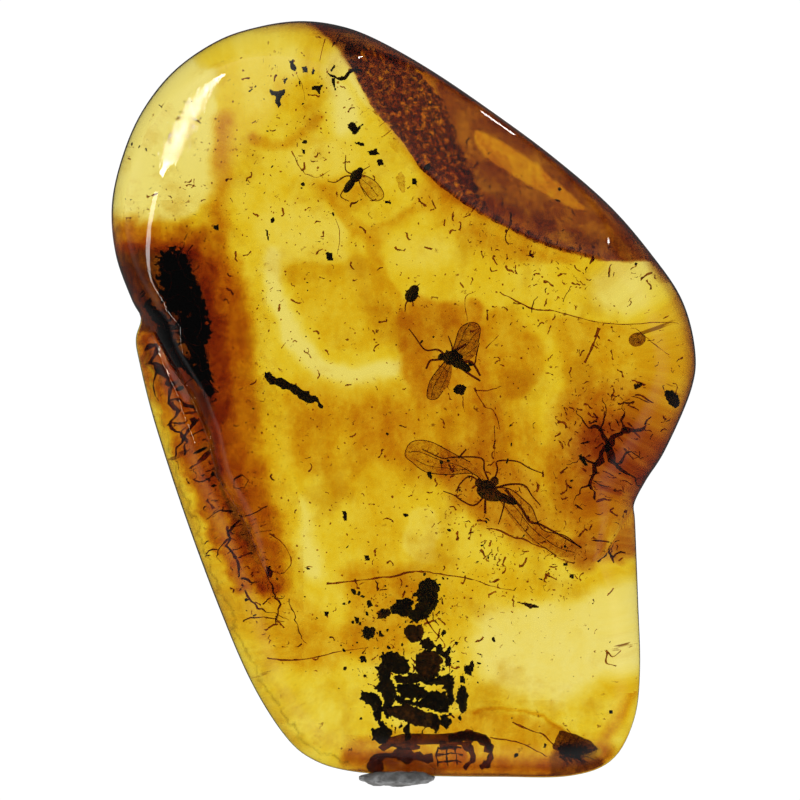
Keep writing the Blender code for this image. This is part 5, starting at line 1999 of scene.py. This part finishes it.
@dataclass
class RoughBark:
    """Twig, thread and larger chips: each CAD solid with its surface broken up and torn."""

    nodes: tuple[str, ...]
    slot: str
    cuts: int = 4
    coarse: float = 0.14
    fine: float = 0.07
    coarse_size: float = 0.40
    fine_size: float = 0.13
    moved: Pixel = (0.0, 0.0)

    def build(self, material: Material) -> None:
        """Build one rough piece for each node, where the node is seen."""
        for node in self.nodes:
            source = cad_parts[node].data
            solid = bmesh.new()
            solid.from_mesh(source)
            solid.transform(Matrix.Scale(TO_MILLIMETRES, 4))
            bmesh.ops.remove_doubles(solid, verts=solid.verts, dist=1e-4)
            bmesh.ops.subdivide_edges(solid, edges=solid.edges, cuts=self.cuts, use_grid_fill=True)
            bmesh.ops.triangulate(solid, faces=solid.faces)
            bmesh.ops.smooth_vert(solid, verts=solid.verts, factor=0.5, use_axis_x=True, use_axis_y=True,
                                  use_axis_z=True)
            solid.normal_update()
            moves = []
            for vertex in solid.verts:
                coarse = noise.fractal(vertex.co / self.coarse_size, 1.0, 2.0, 3)
                fine = noise.fractal(vertex.co / self.fine_size, 1.0, 2.0, 2)
                moves.append(vertex.normal * (self.coarse * coarse + self.fine * fine))
            for vertex, move in zip(solid.verts, moves):
                vertex.co += move
            places = np.array([vertex.co for vertex in solid.verts])
            places[:, :2] += np.array(self.moved) * (PLAN.pixel, -PLAN.pixel)
            if self.slot != "matrix":
                places[:, :2] = SIGHT.under(places[:, :2], places[:, 2])
            for vertex, place in zip(solid.verts, places):
                vertex.co = place
            piece = piece_from(node + "_rough", solid, material, smooth=False)
            hand_over(piece, self.slot, node)


@dataclass
class Tuft:
    """The tuft of flattened plant hair at the lower right: a mat of fine hairs in a fan."""

    root: Pixel = (566, 748)
    hairs: int = 110
    height: float = 5.2
    reach: tuple[float, float] = (0.5, 1.2)
    sweep: tuple[float, float] = (math.radians(-75), math.radians(110))
    seed: int = 21

    def build(self, tubes: GeometryTree, material: Material) -> None:
        """Build the hairs, each a fine curved tube."""
        generator = random.Random(self.seed)
        strands = []
        for _ in range(self.hairs):
            turn = generator.uniform(*self.sweep)
            reach = generator.uniform(*self.reach) / PLAN.pixel
            root_x = self.root[0] + generator.uniform(-8, 14)
            root_y = self.root[1] + generator.uniform(-2, 10)
            bend = generator.uniform(-0.35, 0.35)
            points = []
            for share in (0.0, 0.35, 0.7, 1.0):
                angle = turn + bend * share
                points.append((root_x + reach * share * math.cos(angle),
                               root_y - reach * share * math.sin(angle) * 0.75))
            height = self.height + generator.uniform(-0.3, 0.4)
            strands.append(Strand(tuple(points), height, 0.035, 0.012, generator.uniform(-0.1, 0.2)))
        hairs = Strands("plant_tuft_hairs", tuple(strands), steps=3, sides=4).build(tubes, material)
        hand_over(hairs, "tuft")


@dataclass
class Bubble:
    """The flattened bubble near the right rim: a thin closed shell whose mottled brown tint is painted
    shade, for the darkening that refraction gives an air pocket.
    """

    middle: Pixel = (635, 340)
    sizes: Colour = (0.46, 0.40, 0.13)
    height: float = 8.9

    def build(self, material: Material) -> None:
        """Build the bubble."""
        solid = bmesh.new()
        BodyPart(self.middle, self.sizes, 10, self.height).add_to(solid)
        hand_over(piece_from("flat_bubble", solid, material), "amber")


@dataclass(frozen=True)
class Softbox:
    """A softbox that shows in the gloss: where it is, how it is turned, its size and its power."""

    name: str
    zenith: float
    azimuth: float
    size: tuple[float, float]
    power: float
    distance: float = 0.7

    def build(self) -> None:
        """Build the light, turned to the stone."""
        light = bpy.data.lights.new(self.name, "AREA")
        light.shape = "RECTANGLE"
        light.size, light.size_y = self.size
        light.energy = self.power
        lamp = bpy.data.objects.new(self.name, light)
        bpy.context.collection.objects.link(lamp)
        tilt, turn = math.radians(self.zenith), math.radians(self.azimuth)
        away = Vector((math.sin(tilt) * math.cos(turn), math.sin(tilt) * math.sin(turn), math.cos(tilt)))
        lamp.location = away * self.distance
        lamp.rotation_euler = away.to_track_quat("Z", "Y").to_euler()
        lamp.visible_diffuse = False
        lamp.visible_transmission = False


@dataclass
class Studio:
    """A lit white table, soft light from all round and the camera above the stone."""

    floor_level: float = -0.05
    floor_size: float = 4000.0
    floor_light: float = 1.03
    dome: float = 0.38
    horizon: float = 0.06
    overhead: float = 0.12
    overhead_reach: tuple[float, float] = (0.45, 0.72)
    camera_height: float = 600.0
    focus_height: float = 4.7
    camera_place: tuple[float, float] = (-0.204, 0.204)
    lens: float = 463.0
    softboxes: tuple[Softbox, ...] = (
        Softbox("left_strip", 46, 148, (0.22, 0.016), 0.30),
        Softbox("left_thread", 46, 176, (0.24, 0.012), 0.06),
        Softbox("right_strip", 84, 54, (0.05, 0.05), 0.16),
    )
    window_zenith: float = math.radians(43)
    window_azimuth: float = math.radians(124)
    window_reach: tuple[float, float] = (math.radians(25), math.radians(14))
    window_light: float = 0.7

    def build(self) -> None:
        """Build the floor, the lights and the camera."""
        self.build_floor()
        self.build_world()
        for softbox in self.softboxes:
            softbox.build()
        self.build_camera()

    def build_floor(self) -> None:
        """Build the lit table, with a very faint mottle."""
        paint = Paint("lit_table")
        strength = paint.spread(paint.noise(40.0), 0.3, 0.7, self.floor_light, self.floor_light * 1.01)
        glow = paint.node("ShaderNodeEmission", {"Color": (1.0, 1.0, 1.0, 1.0), "Strength": strength})
        half = self.floor_size / 2
        level = self.floor_level
        corners = [(-half, -half, level), (half, -half, level), (half, half, level), (-half, half, level)]
        floor = new_piece("floor", np.array(corners), [(0, 1, 2, 3)], paint.surface(glow.outputs[0]))
        floor.visible_glossy = False

    def build_world(self) -> None:
        """Build the light from all round, darker at the horizon and where the camera stands."""
        world = bpy.data.worlds.new("soft_dome")
        bpy.context.scene.world = world
        world.use_nodes = True
        graph = Graph(world.node_tree)
        graph.tree.nodes.clear()
        direction = graph.node("ShaderNodeTexCoord").outputs["Generated"]
        up = graph.node("ShaderNodeSeparateXYZ", {0: direction}).outputs["Z"]
        rise = graph.result("ShaderNodeMapRange", {
            "Value": up, 1: -0.1, 2: 0.5, 3: self.horizon, 4: self.dome,
        }, interpolation_type="SMOOTHSTEP")
        low, high = self.overhead_reach
        shade = graph.result("ShaderNodeMapRange", {
            "Value": up, 1: low, 2: high, 3: 1.0, 4: self.overhead,
        }, interpolation_type="SMOOTHSTEP")
        tilt, turn = self.window_zenith, self.window_azimuth
        axis = (math.sin(tilt) * math.cos(turn), math.sin(tilt) * math.sin(turn), math.cos(tilt))
        toward = graph.node("ShaderNodeVectorMath", {0: direction, 1: axis}, operation="DOT_PRODUCT")
        outer, inner = (math.cos(reach) for reach in self.window_reach)
        window = graph.result("ShaderNodeMapRange", {
            "Value": toward.outputs["Value"], 1: outer, 2: inner, 3: 0.0, 4: self.window_light,
        }, interpolation_type="SMOOTHSTEP")
        strength = graph.math("ADD", graph.math("MULTIPLY", rise, shade), window)
        light = graph.node("ShaderNodeBackground", {"Color": (1.0, 1.0, 1.0, 1.0), "Strength": strength})
        graph.node("ShaderNodeOutputWorld", {"Surface": light.outputs[0]})

    def build_camera(self) -> None:
        """Build the camera, straight above the stone."""
        data = bpy.data.cameras.new("camera")
        data.sensor_width = 36.0
        data.lens = self.lens
        data.clip_start = 0.01
        camera = bpy.data.objects.new("camera", data)
        bpy.context.collection.objects.link(camera)
        height = self.camera_height + self.focus_height
        camera.location = [value * TO_METRES for value in (*self.camera_place, height)]
        bpy.context.scene.camera = camera


def set_render() -> None:
    """Let light go through the stone and back, and keep the plain view transform."""
    scene = bpy.context.scene
    scene.view_settings.view_transform = "Standard"
    cycles = scene.cycles
    cycles.max_bounces = 24
    cycles.transmission_bounces = 20
    cycles.diffuse_bounces = 2
    cycles.glossy_bounces = 8
    cycles.transparent_max_bounces = 48
    cycles.caustics_refractive = True
    cycles.caustics_reflective = True
    cycles.blur_glossy = 0.0
    cycles.use_denoising = True


def main() -> None:
    """Build every piece in order."""
    logging.basicConfig(level=logging.INFO, format="%(name)s: %(message)s", stream=sys.stdout)
    noise.seed_set(NOISE_SEED)
    for name in list(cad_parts):
        LOG.info("CAD node %s", name)
    tubes = tube_tree()
    scatters = {grain: scatter_tree(grain) for grain in Grain}
    bark = RoughFinish("black_bark", (0.004, 0.004, 0.003), (0.050, 0.022, 0.008)).make()
    brown_bark = RoughFinish("brown_bark", (0.030, 0.010, 0.003), (0.220, 0.085, 0.020)).make()
    shell = RoughFinish("insect_shell", (0.010, 0.006, 0.003), (0.050, 0.020, 0.008), 0.10, 0.03, 0.4).make()
    brown_shell = RoughFinish("gnat_shell", (0.020, 0.005, 0.002), (0.300, 0.080, 0.012), 0.20, 0.03,
                              0.4).make()
    limb = ThinFinish("insect_limb", (0.46, 0.26, 0.07), (0.22, 0.09, 0.02), 0.05).make()
    thread = ThinFinish("brown_thread", (0.62, 0.38, 0.10), (0.32, 0.15, 0.03), 0.05).make()
    speck = ThinFinish("dust_speck", (0.72, 0.52, 0.18), (0.42, 0.24, 0.06), 0.04).make()
    hair = ThinFinish("tuft_hair", (0.55, 0.40, 0.14), (0.30, 0.18, 0.05), 0.06).make()
    stain = ThinFinish("crack_stain", (0.42, 0.20, 0.06), (0.16, 0.06, 0.02), 0.08).make()
    wood = ThinFinish("twig_wood", (0.46, 0.27, 0.08), (0.20, 0.09, 0.02), 0.10, 0.40).make()
    fibre = RoughFinish("pale_fibre", (0.300, 0.130, 0.040), (0.900, 0.480, 0.160), 0.30, 0.01).make()
    grey = RoughFinish("grey_matrix", (0.340, 0.330, 0.320), (0.860, 0.870, 0.870), 0.70, 0.10, 0.85).make()
    wing = ThinFinish("clear_wing", (0.95, 0.90, 0.78), (0.76, 0.62, 0.42), 0.02).make()
    smoky = ThinFinish("smoky_wing", (0.84, 0.74, 0.54), (0.52, 0.38, 0.22), 0.04).make()
    # The bubble's brown tint is painted shade: an air pocket has no colour of its own.
    bubble = ThinFinish("bubble_painted_shade", (0.72, 0.56, 0.32), (0.40, 0.27, 0.11), 0.08).make()
    finishes = {"speck": (speck, "bark"), "bark": (bark, "bark"), "thread": (thread, "bark"),
                "stain": (stain, "bark")}

    Amber().build()
    lower = Sheet(height=2.4, margin=0.25, spacing=0.17, wave=0.12, seed=11)
    FlowLayer("lower_flow", lower, Tint.YELLOW, LOWER_FLOWS).build()
    for name, area, flows, warp, warp_size in SKINS:
        FlowLayer(name, SurfaceSheet(area), Tint.CLEAR, flows, warp, warp_size).build()
    RimShade().build()
    Crust().build()
    for insect, cover, blade in ((FLY, shell, smoky), (GNAT, brown_shell, wing), (MIDGE, shell, wing),
                                 (BEETLE, shell, wing)):
        insect.build(tubes, cover, limb, blade)
    hand_over(CRACKS.build(tubes, thread), "bark")
    hand_over(CREASE_BRANCHES.build(tubes, stain), "bark")
    hand_over(TWIG_LOOPS.build(tubes, wood), "bark")
    hand_over(FOLD_FIBRES.build(tubes, fibre), "bark")
    LITTER.build(bark, brown_bark)
    RoughBark(("fly_debris", "dark_chip", "bark_thread"), "bark").build(bark)
    RoughBark(("insect_husk",), "chitin", moved=(12, 10)).build(wing)
    RoughBark(("curved_twig",), "bark", cuts=2, coarse=0.08).build(wood)
    RoughBark(("plant_tuft",), "tuft", cuts=6, coarse=0.08, fine=0.04).build(hair)
    RoughBark(("matrix_chip",), "matrix", cuts=3, coarse=0.12, fine=0.04, coarse_size=0.8).build(grey)
    Tuft().build(tubes, hair)
    Bubble().build(bubble)
    for drift in DRIFTS:
        material, slot = finishes[drift.finish]
        drift.build(scatters[drift.grain], material, slot)
    Studio().build()
    set_render()


if __name__ == "__main__":
    main()
